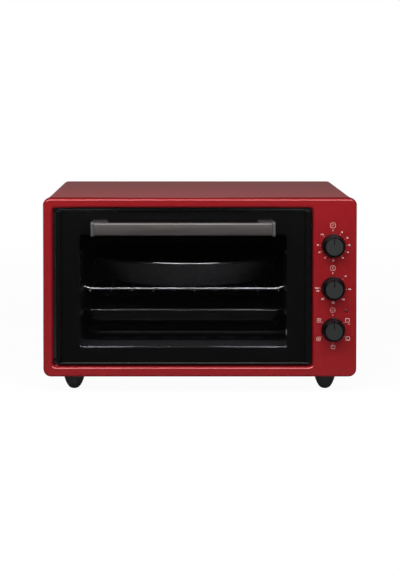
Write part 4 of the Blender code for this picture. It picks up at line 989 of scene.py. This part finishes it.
makeDoorPan(doorShape)
makeGlassEdgeHighlight(glassHighlightShape)
makeHingeBrackets(hingeShape)
makePane("doorGlassOuter", "door_glass_outer", glassRect, "outerGlass", paneShape)
makePane("doorGlassInner", "door_glass_inner", grown(windowRect, paneLap), "innerGlass", paneShape)
makeGlassBorder(borderShape)
makeDoorLiner(linerShape)
makeHandle(handleShape)
print("stage: door made")


# Controls

knobShape = {"radius": 0.0199, "waist": 0.0164, "face": 0.0145, "skirt": 0.0028,
             "edge": 0.0014, "bore": 0.0034, "boreDepth": 0.014, "discRadius": 0.0141,
             "discRise": 0.0005, "pointerWide": 0.0016, "pointerLong": 0.0110,
             "pointerDeep": 0.0006, "ease": 0.0006, "thin": 0.0002, "reach": 0.002,
             "segments": 96}


# A knob turned round the axis to the front: skirt, tapered waist, rounded edge and a
# bored back. Its matte disc lies in the face, and the pointer is cut through both.
def makeKnob(control, shape):
    low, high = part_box(control + "_knob")
    centre = atDepth(control + "_knob", high[1])
    front, rise, body = low[1], high[1] - low[1], control + "_control"
    face, waist, radius, skirt = shape["face"], shape["waist"], shape["radius"], shape["skirt"]
    ease, thin, disc = shape["ease"], shape["thin"], shape["discRadius"]
    shoulder, seat = rise - shape["edge"], rise - shape["discRise"]
    profile = [(shape["bore"], shape["boreDepth"]), (shape["bore"], 0), (radius - ease, 0),
               (radius, ease), (radius, skirt - ease - thin), (radius - thin, skirt - thin),
               (radius - ease, skirt), (waist + thin, shoulder - ease / 2),
               *quarterRound(face, waist, rise, shape["edge"]),
               (face - thin, rise), (disc + thin / 2, rise), (disc, seat)]
    knob = addSkin(control + "Knob", latheRings(profile, centre, "front", shape["segments"]),
                   body, "blackPlastic", [control + "_knob"])
    half = shape["pointerWide"] / 2
    start = centre[2] + face - shape["pointerLong"]
    groove = (centre[0] - half, centre[0] + half, start, centre[2] + radius, half)
    profile = [(disc - thin, seat + thin / 2), (disc - thin, rise - thin), (disc - 2 * thin, rise),
               (disc - 3 * thin, rise)]
    plate = addSkin(control + "Disc", latheRings(profile, centre, "front", shape["segments"]),
                    body, "knobFace")
    reach = shape["reach"]
    for piece, depth in ((plate, reach), (knob, shape["pointerDeep"] + shape["discRise"])):
        pierce(piece, [rowsAlong("Y", [groove, groove], (front - reach, front + depth), hold=0)])


lensShape = {"radius": 0.0024, "dome": 0.0014, "domeShare": 0.94, "segments": 40}


# The lamp's lens: a short pin with a domed end.
def makeLens(shape):
    low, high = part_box("indicator_lens")
    profile = [(shape["radius"], 0), *quarterRound(0, shape["radius"], high[1] - low[1],
                                                   shape["dome"], shape["domeShare"])]
    rings = latheRings(profile, atDepth("indicator_lens", high[1]), "front", shape["segments"])
    addSkin("indicatorLens", rings, "housing", "lampRed", ["indicator_lens"])


printRoot = 0.0001  # how deep the print reaches into the panel


# The print on the panel. Angles are degrees clockwise from the top of a knob, and the
# rest is millimetres: how far out a label stands, and how high its figures are.
printLook = {"thickness": 0.00005, "line": 0.00030, "figure": 3.2, "tickStart": 21.2,
             "tickEnd": 22.4,
             "iconRise": {"timer": 34.0, "thermostat": 33.8, "selector": 33.0}, "iconSize": 8.4,
             "iconShift": -0.9, "markDrop": 8.0, "markSize": 1.2, "markStem": 1.5,
             "symbolSize": 6.4, "symbolReach": 28.4, "secondLine": (1.1, -4.7)}
timerLabels = [("10", 31, 26.3), ("20", 60, 26.4), ("30", 87, 26.2), ("40", 114, 26.0),
               ("50", 142, 25.2), ("60", 180, 24.6), ("70", 215, 24.6), ("80", 245, 25.6),
               ("90", 273, 26.0), ("ON", 315, 26.6)]
thermostatLabels = [("50", 45, 28.7), ("100", 93, 27.0), ("150", 138, 24.8), ("200", 180, 24.0),
                    ("225", 225, 24.8), ("MAX", 271, 26.8)]
selectorSymbols = [("fan", 56), ("lower", 121), ("upper", 180), ("both", 238), ("grill", 304)]
# Strokes of the signs and of the icons' hands, as shares of a half size.
signs = {"fan": [(0.3, -1.9, 1.5, -1.9)], "lower": [(-0.5, -0.45, 0.5, -0.45)],
         "upper": [(-0.5, 0.45, 0.5, 0.45)],
         "both": [(-0.45, -0.45, 0.45, 0.45), (-0.45, 0.45, 0.45, -0.45)],
         "grill": [(-0.5, 0.5, 0.5, 0.5), (-0.3, -0.4, 0.3, 0.2), (-0.3, 0.2, 0.3, -0.4)]}
hands = {"timer": [(-0.35, 0.15, 0, -0.1), (0, -0.1, 0.45, 0.3)],
         "thermostat": [(0.3, 0.5, -0.3, 0), (-0.3, 0, 0.3, -0.5)],
         "selector": [(-0.2, -0.35, 0.1, 0.1), (0.1, 0.1, 0.4, 0.1)]}


# The outline of a symbol: a rounded rectangle, or a circle where the corner is half the size.
def printOutline(middle, size, corner, line, thickness):
    half = size / 2
    rect = (middle[0] - half, middle[0] + half, middle[1] - half, middle[1] + half, corner)
    thin = grown(rect, -line)
    near, far = frontY - thickness, frontY + printRoot
    return skinArrays(rowsAlong("Y", [rect, rect, thin, thin], (far, near, near, far), hold=0),
                      closedRows=True)


# Figures, filled as a text and stood up on the panel with their middle at a place.
def printWords(words, size, middle, thickness):
    text = bpy.data.curves.new("figures", "FONT")
    text.body, text.size, text.extrude = words, size, (thickness + printRoot) / 2
    text.align_x, text.align_y = "CENTER", "CENTER"
    holder = bpy.data.objects.new("figures", text)
    scene.collection.objects.link(holder)
    mesh = evaluatedMesh(holder)
    mesh.calc_loop_triangles()
    flat = np.empty(len(mesh.vertices) * 3)
    mesh.vertices.foreach_get("co", flat)
    faces = np.empty(len(mesh.loop_triangles) * 3, np.int32)
    mesh.loop_triangles.foreach_get("vertices", faces)
    flat = flat.reshape(-1, 3)
    points = np.stack((middle[0] + flat[:, 0], frontY - (thickness - printRoot) / 2 - flat[:, 2],
                       middle[1] + flat[:, 1]), -1)
    bpy.data.objects.remove(holder, do_unlink=True)
    bpy.data.meshes.remove(mesh)
    return points, [faces.reshape(-1, 3)]


# The place on the panel at an angle from the top and a reach in millimetres.
def around(middle, angle, reach):
    turn = math.radians(angle)
    return (middle[0] + reach / 1000 * math.sin(turn), middle[2] + reach / 1000 * math.cos(turn))


# A thin straight stroke between two places on the panel.
def printStroke(start, end, line, thickness):
    start, end = np.array(start), np.array(end)
    outward = (end - start) / np.linalg.norm(end - start)
    across = np.array((outward[1], -outward[0])) * line / 2
    corners = np.array([start - across, start + across, end + across, end - across])
    return skinArrays(stoodAt([corners, corners], (frontY - thickness, frontY + printRoot)))


def makePanelPrint(look):
    thickness, line = look["thickness"], look["line"]
    size, parts = look["figure"] / 1000, []

    # Strokes through (across, up) points, as shares of a half size round a middle.
    def strokes(middle, half, *lines):
        for x1, z1, x2, z2 in lines:
            parts.append(printStroke((middle[0] + x1 * half, middle[1] + z1 * half),
                                     (middle[0] + x2 * half, middle[1] + z2 * half), line,
                                     thickness))

    def tick(middle, angle):
        parts.append(printStroke(around(middle, angle, look["tickStart"]),
                                 around(middle, angle, look["tickEnd"]), line, thickness))

    for control, labels in (("timer", timerLabels), ("thermostat", thermostatLabels)):
        middle = knobMiddles[control]
        for words, angle, reach in labels:
            parts.append(printWords(words, size, around(middle, angle, reach), thickness))
            tick(middle, angle)
    x, z = around(knobMiddles["thermostat"], *thermostatLabels[-1][1:])
    right, up = look["secondLine"]
    parts.append(printWords("250", size, (x + right / 1000, z + up / 1000), thickness))
    half = look["symbolSize"] / 2000
    for kind, angle in selectorSymbols:
        place = around(knobMiddles["selector"], angle, look["symbolReach"])
        parts.append(printOutline(place, 2 * half, 0.0010, line, thickness))
        tick(knobMiddles["selector"], angle)
        strokes(place, half, *signs[kind])
    icon = look["iconSize"] / 1000
    for control, middle in knobMiddles.items():
        x, z = middle[0] + look["iconShift"] / 1000, middle[2] + look["iconRise"][control] / 1000
        corner = {"timer": 0.0026, "thermostat": 0.0036, "selector": icon * 0.499}[control]
        parts.append(printOutline((x, z), icon, corner, line, thickness))
        strokes((x, z), icon / 2, *hands[control])
        low, mark = z - look["markDrop"] / 1000, look["markSize"] / 1000
        parts.append(printOutline((x, low), mark, mark * 0.499, mark * 0.35, thickness))
        parts.append(printStroke((x, low - mark / 2),
                                 (x, low - mark / 2 - look["markStem"] / 1000),
                                 line, thickness))
    addPiece("panelPrint", parts, "housing", "panelPrint")


for control in knobMiddles:
    makeKnob(control, knobShape)
makeLens(lensShape)
makePanelPrint(printLook)
print("stage: controls made")


# Rack, tin and tray

rackShape = {"frameRadius": 0.0025, "wireRadius": 0.0016, "wires": 10, "knee": 0.0125,
             "firstWire": 0.0013, "lastWire": 0.0003, "dip": 0.0052, "bend": 0.0045,
             "sink": 0.0006, "sides": 20}


# The rack's frame is a closed rod whose front and rear rails dip below its sides. Ten
# wires lie under the rails, each a straight tube with rounded ends.
def makeRack(shape):
    low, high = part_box("wire_rack")
    radius, thin = shape["frameRadius"], shape["wireRadius"]
    left, right = low[0] + radius, high[0] - radius
    front, rear = low[1] + radius, high[1] - radius
    top = high[2] - radius
    rail = top - shape["dip"]
    knee = shape["knee"]
    corners = [(left + knee, front, rail), (right - knee, front, rail), (right, front, top),
               (right, rear, top), (right - knee, rear, rail), (left + knee, rear, rail),
               (left, rear, top), (left, front, top)]
    loop = roundedPath(corners, shape["bend"], 6, closed=True)
    parts = [skinArrays(tubeRings(loop, radius, shape["sides"], closed=True), closedRows=True)]
    height = rail - radius - thin + shape["sink"]
    nose = np.linspace(0.1, math.pi / 2, 6)
    along = np.concatenate((low[1] + thin * (1 - np.cos(nose)),
                            high[1] - thin * (1 - np.cos(nose[::-1]))))
    width = np.concatenate((thin * np.sin(nose), thin * np.sin(nose[::-1])))
    for x in np.linspace(left + knee + shape["firstWire"], right - knee + shape["lastWire"],
                         shape["wires"]):
        path = np.stack((np.full(len(along), x), along, np.full(len(along), height)), -1)
        parts.append(skinArrays(tubeRings(path, width, 12)))
    addPiece("wireRack", parts, "rack", "chrome", ["wire_rack"])


tinShape = {"sheet": 0.0010, "rim": 0.0024, "lean": 0.0290, "floorEdge": 0.006, "pole": 0.002,
            "outsideDrop": 2.2, "segments": 144}


# The tin is turned round its upright axis, as a dark inside and a greyer outside with a hair's gap
# between them.
# The outside's lighter grey is painted light, standing for the lit near wall. Each has a floor, an
# eased foot and a leaning wall. The bright rim is rolled round a full circle.
def makeTin(shape):
    low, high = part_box("round_tin")
    centre = ((low[0] + high[0]) / 2, (low[1] + high[1]) / 2, low[2])
    radius, height = (high[0] - low[0]) / 2, high[2] - low[2]
    sheet, rim, edge = shape["sheet"], shape["rim"], shape["floorEdge"]
    wallTop, pole = radius - 2 * rim, shape["pole"]
    floor = wallTop - shape["lean"]
    inner = np.array([(pole, sheet), (floor, sheet), (wallTop - sheet, height - rim)])
    outer = np.array([(pole, 0), (floor + sheet, 0),
                      (wallTop + 0.0002, height - shape["outsideDrop"] * rim)])
    for name, near, far, finish, replaced in (("roundTin", 1.0, 0.5, "tinEnamel", ["round_tin"]),
                                              ("tinOutsidePaintedLight", 0.4, 0.0, "tinOutsidePaintedLight", ())):
        lines = [roundedPath(outer + share * (inner - outer), edge, 8, hold=0.0004)
                 for share in (near, far)]
        rings = latheRings([*lines[0], *lines[1][::-1]], centre, "up", shape["segments"])
        addSkin(name, rings, "rack", finish, replaced)
    turn = np.linspace(math.pi, -math.pi, 26)[:-1]
    roll = np.stack((radius - rim + rim * np.cos(turn), height - rim + rim * np.sin(turn)), -1)
    addSkin("tinRim", latheRings(roll, centre, "up", shape["segments"]), "rack", "chrome",
            closed=True)


trayShape = {"sheet": 0.0010, "rimWide": 0.0072, "rimHigh": 0.0024, "rimRound": 0.0021,
             "taper": 0.014, "corner": 0.022, "floorEdge": 0.004, "bend": 0.0012,
             "flat": 0.003, "hold": 0.0004, "steps": 12}


# The tray: rows of lying outlines from the middle of its floor up the leaning wall,
# over the flat rim, round its turned-down lip and back under it all.
def makeTray(shape):
    low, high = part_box("baking_tray")
    rim = (low[0], high[0], low[1], high[1], shape["corner"])
    top, floor = high[2], low[2]
    sheet, bend = shape["sheet"], shape["bend"]
    wall = -shape["rimWide"]
    foot = wall - shape["taper"]
    edge = shape["floorEdge"]
    hold, flat, lip = shape["hold"], shape["flat"], shape["rimRound"]
    rows = [(rim, foot - edge - flat, floor + sheet), (rim, foot - edge, floor + sheet)]
    rows += roundedStep(rim, (foot - edge, floor + sheet), (foot - sheet, floor + edge),
                        "growth", 6)
    rows += [(rim, wall - sheet - bend * 0.4, top - bend)]
    rows += roundedStep(rim, (wall - sheet - bend * 0.2, top - bend), (wall + hold, top),
                        "level", 5)
    rows += [(rim, wall + sheet, top), (rim, -lip - hold, top)]
    rows += roundedStep(rim, (-lip, top), (0, top - lip), "growth", 8)
    low = top - shape["rimHigh"]
    rows += [(rim, -0.0003, low), (rim, -sheet, low), (rim, -sheet, top - sheet - 0.0002),
             (rim, wall + sheet, top - sheet), (rim, wall, top - 2 * sheet),
             (rim, foot, floor + edge)]
    rows += roundedStep(rim, (foot, floor + edge), (foot - edge, floor), "level", 6)
    rows += [(rim, foot - edge - flat, floor)]
    addSkin("bakingTray", grownRows("Z", rows, shape["steps"]), "tray", "blackEnamel",
            ["baking_tray"])


makeRack(rackShape)
makeTin(tinShape)
makeTray(trayShape)
print("stage: rack, tin and tray made")


# The nodes that stay as they are get their finishes through their material slots.
cadLooks = {
    "galvanised": ["heat_shield", "control_bracket"], "blackPlastic": ["indicator_lamp"],
    "brass": ["timer_shaft", "thermostat_shaft", "selector_shaft", "timer_bell"],
    "steel": ["timer_body", "thermostat_body", "selector_body", "thermostat_bulb"],
    "doorEnamel": ["hinge_pin_left", "hinge_pin_right"],
    "ceramic": ["lower_heater_bush_front", "lower_heater_bush_rear", "upper_heater_bush_front",
                "upper_heater_bush_rear", "terminal_block"],
}
for finish, nodeNames in cadLooks.items():
    for nodeName in nodeNames:
        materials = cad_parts[nodeName].data.materials
        materials.clear()
        materials.append(finishes[finish])
print("stage: finishes given to the nodes that stay")


# Camera

# The photograph's upright lines don't lean, so the camera looks almost level and its lens
# is shifted.
cameraLook = {"place": (-0.0286, -2.6745, 0.52994), "lens": 95.498, "pitch": 2.391,
              "shiftX": 0.0305, "shiftY": -0.260}


def makeCamera(look):
    data = bpy.data.cameras.new("camera")
    data.lens, data.sensor_width = look["lens"], 36
    data.shift_x, data.shift_y = look["shiftX"], look["shiftY"]
    data.clip_end = 60
    camera = bpy.data.objects.new("camera", data)
    camera.location = look["place"]
    camera.rotation_euler = (math.radians(90 - look["pitch"]), 0, 0)
    scene.collection.objects.link(camera)
    scene.camera = camera


makeCamera(cameraLook)


# Stage

# Shares from 0 to 1, and spans and reaches along Y. The floor is white to the camera by its
# glow share, which grows to all of it away from the object, and keeps the object's shadow
# by the rest.
stageLook = {"floorSize": 24.0, "floorDrop": 0.0004, "floorAlbedo": 0.80, "nearGlow": 0.96,
             "nearReach": 0.7, "farReach": 2.6,
             # the mirrored stops from -0.19 to 0.40 are painted shade under the oven in
             # reflections
             "mirrored": ((-1.5, 0.02), (-0.6, 0.06), (-0.45, 0.10), (-0.36, 0.13),
                          (-0.28, 0.20), (-0.19, 0.06), (0.40, 0.06), (0.80, 1.0)),
             "mirrorReach": 2.0, "ambient": 0.20, "frontAmbient": 0.28,
             "frontReflection": 0.02, "ambientSpan": (-0.3, 0.6),
             "mirrorSpan": (0.996, 0.9999)}


def addRange(tree, source, fromMin, fromMax, toMin, toMax):
    level = addNode(tree, "ShaderNodeMapRange", interpolation_type="SMOOTHSTEP",
                    **{"From Min": fromMin, "From Max": fromMax, "To Min": toMin, "To Max": toMax})
    tree.node_tree.links.new(source, level.inputs["Value"])
    return level.outputs["Result"]


def addMath(tree, operation, first, second, clamp=False):
    step = addNode(tree, "ShaderNodeMath", operation=operation, use_clamp=clamp)
    for number, value in enumerate((first, second)):
        if isinstance(value, float):
            step.inputs[number].default_value = value
        else:
            tree.node_tree.links.new(value, step.inputs[number])
    return step.outputs[0]


def addMix(tree, factor, first, second):
    mix = addNode(tree, "ShaderNodeMixShader")
    for number, value in enumerate((factor, first, second)):
        tree.node_tree.links.new(value, mix.inputs[number])
    return mix.outputs[0]


# What the camera and the rays that pass through glass see.
def seenDirectly(tree, path):
    return addMath(tree, "ADD", path.outputs["Is Camera Ray"],
                   path.outputs["Is Transmission Ray"], True)


# The camera and the rays that pass through glass see the white floor. Glossy rays see it white far
# behind the object, and dark near it and in front, by stops of (Y, brightness); the dark stops
# under and just behind it are painted shade.
def makeFloor(look):
    half = look["floorSize"] / 2
    points = np.array([(-half, -half, 0), (half, -half, 0), (half, half, 0), (-half, half, 0)],
                      float)
    mesh = bpy.data.meshes.new("floor")
    mesh.from_pydata(points.tolist(), [], [(0, 1, 2, 3)])
    floor = bpy.data.objects.new("floor", mesh)
    floor.location = (0, 0, -look["floorDrop"])
    scene.collection.objects.link(floor)
    material = bpy.data.materials.new("floor")
    material.use_nodes = True
    nodes, links = material.node_tree.nodes, material.node_tree.links
    nodes.clear()
    diffuse = addNode(material, "ShaderNodeBsdfDiffuse", Color=(*[look["floorAlbedo"]] * 3, 1))
    glow = addNode(material, "ShaderNodeEmission", Color=(1, 1, 1, 1), Strength=1.0)
    path = addNode(material, "ShaderNodeLightPath")
    place = addNode(material, "ShaderNodeTexCoord").outputs["Object"]
    split = addNode(material, "ShaderNodeSeparateXYZ")
    links.new(place, split.inputs[0])
    away = addNode(material, "ShaderNodeVectorMath", operation="LENGTH")
    links.new(place, away.inputs[0])
    share = addRange(material, away.outputs["Value"], look["nearReach"], look["farReach"],
                     look["nearGlow"], 1.0)
    glossy = path.outputs["Is Glossy Ray"]
    ramp = addNode(material, "ShaderNodeValToRGB")
    stops = ramp.color_ramp.elements
    reach = look["mirrorReach"]
    for number, (y, bright) in enumerate(look["mirrored"]):
        stop = stops[number] if number < 2 else stops.new(1.0)
        stop.position = (y + reach) / (2 * reach)
        stop.color = (1 - bright, 1 - bright, 1 - bright, 1)
    shifted = addMath(material, "ADD", split.outputs["Y"], reach)
    links.new(addMath(material, "DIVIDE", shifted, 2 * reach), ramp.inputs["Fac"])
    dark = addMath(material, "MULTIPLY", glossy, ramp.outputs["Color"])
    links.new(addMath(material, "SUBTRACT", 1.0, dark), glow.inputs["Strength"])
    seen = addMath(material, "MULTIPLY", seenDirectly(material, path), share)
    seen = addMath(material, "ADD", seen, glossy, True)
    out = addNode(material, "ShaderNodeOutputMaterial")
    links.new(addMix(material, seen, diffuse.outputs[0], glow.outputs[0]), out.inputs["Surface"])
    mesh.materials.append(material)


# The backdrop is white to the camera and through glass. Glossy rays see it white behind
# the object and dark in front, where the studio is, and it lights the object softly.
def makeWorld(look):
    world = bpy.data.worlds.new("studio")
    scene.world = world
    world.use_nodes = True
    nodes, links = world.node_tree.nodes, world.node_tree.links
    nodes.clear()
    path = addNode(world, "ShaderNodeLightPath")
    split = addNode(world, "ShaderNodeSeparateXYZ")
    links.new(addNode(world, "ShaderNodeTexCoord").outputs["Generated"], split.inputs[0])
    ambient = addRange(world, split.outputs["Y"], *look["ambientSpan"], look["frontAmbient"],
                       look["ambient"])
    mirror = addRange(world, split.outputs["Y"], *look["mirrorSpan"], look["frontReflection"], 1.0)
    lights = []
    for strength in (ambient, mirror, None):
        light = addNode(world, "ShaderNodeBackground", Color=(1, 1, 1, 1), Strength=1.0)
        if strength:
            links.new(strength, light.inputs["Strength"])
        lights.append(light.outputs[0])
    soft, mirrored, white = lights
    soft = addMix(world, path.outputs["Is Glossy Ray"], soft, mirrored)
    out = addNode(world, "ShaderNodeOutputWorld")
    links.new(addMix(world, seenDirectly(world, path), soft, white), out.inputs["Surface"])


lampLooks = {
    "topLamp": {"place": (-0.08, -0.80, 0.91), "aim": (0, -0.17, 0.19), "size": (1.6, 0.24),
                "watts": 17},
    "leftLamp": {"place": (-0.74, -2.25, 1.15), "aim": (0, 0, 0.15), "size": (1.1, 0.9),
                 "watts": 9.2},
    "rightLamp": {"place": (0.69, -2.25, 1.15), "aim": (0, 0, 0.15), "size": (1.1, 0.9),
                  "watts": 9.2},
    "backLamp": {"place": (0.0, 1.9, 1.6), "aim": (0, 0, 0.2), "size": (2.0, 0.8), "watts": 8,
                 "mirrored": False},
}


def makeLamps(lamps):
    for name, look in lamps.items():
        data = bpy.data.lights.new(name, "AREA")
        data.shape = "RECTANGLE"
        data.size, data.size_y = look["size"]
        data.energy = look["watts"]
        lamp = bpy.data.objects.new(name, data)
        lamp.location = look["place"]
        lamp.visible_glossy = look.get("mirrored", True)
        aim = np.array(look["aim"], float) - np.array(look["place"], float)
        lamp.rotation_euler = (math.atan2(math.hypot(aim[0], aim[1]), -aim[2]), 0,
                               math.atan2(-aim[0], aim[1]))
        scene.collection.objects.link(lamp)


makeFloor(stageLook)
makeWorld(stageLook)
makeLamps(lampLooks)
scene.view_settings.view_transform = "Standard"
print("stage: camera, floor and lamps set")
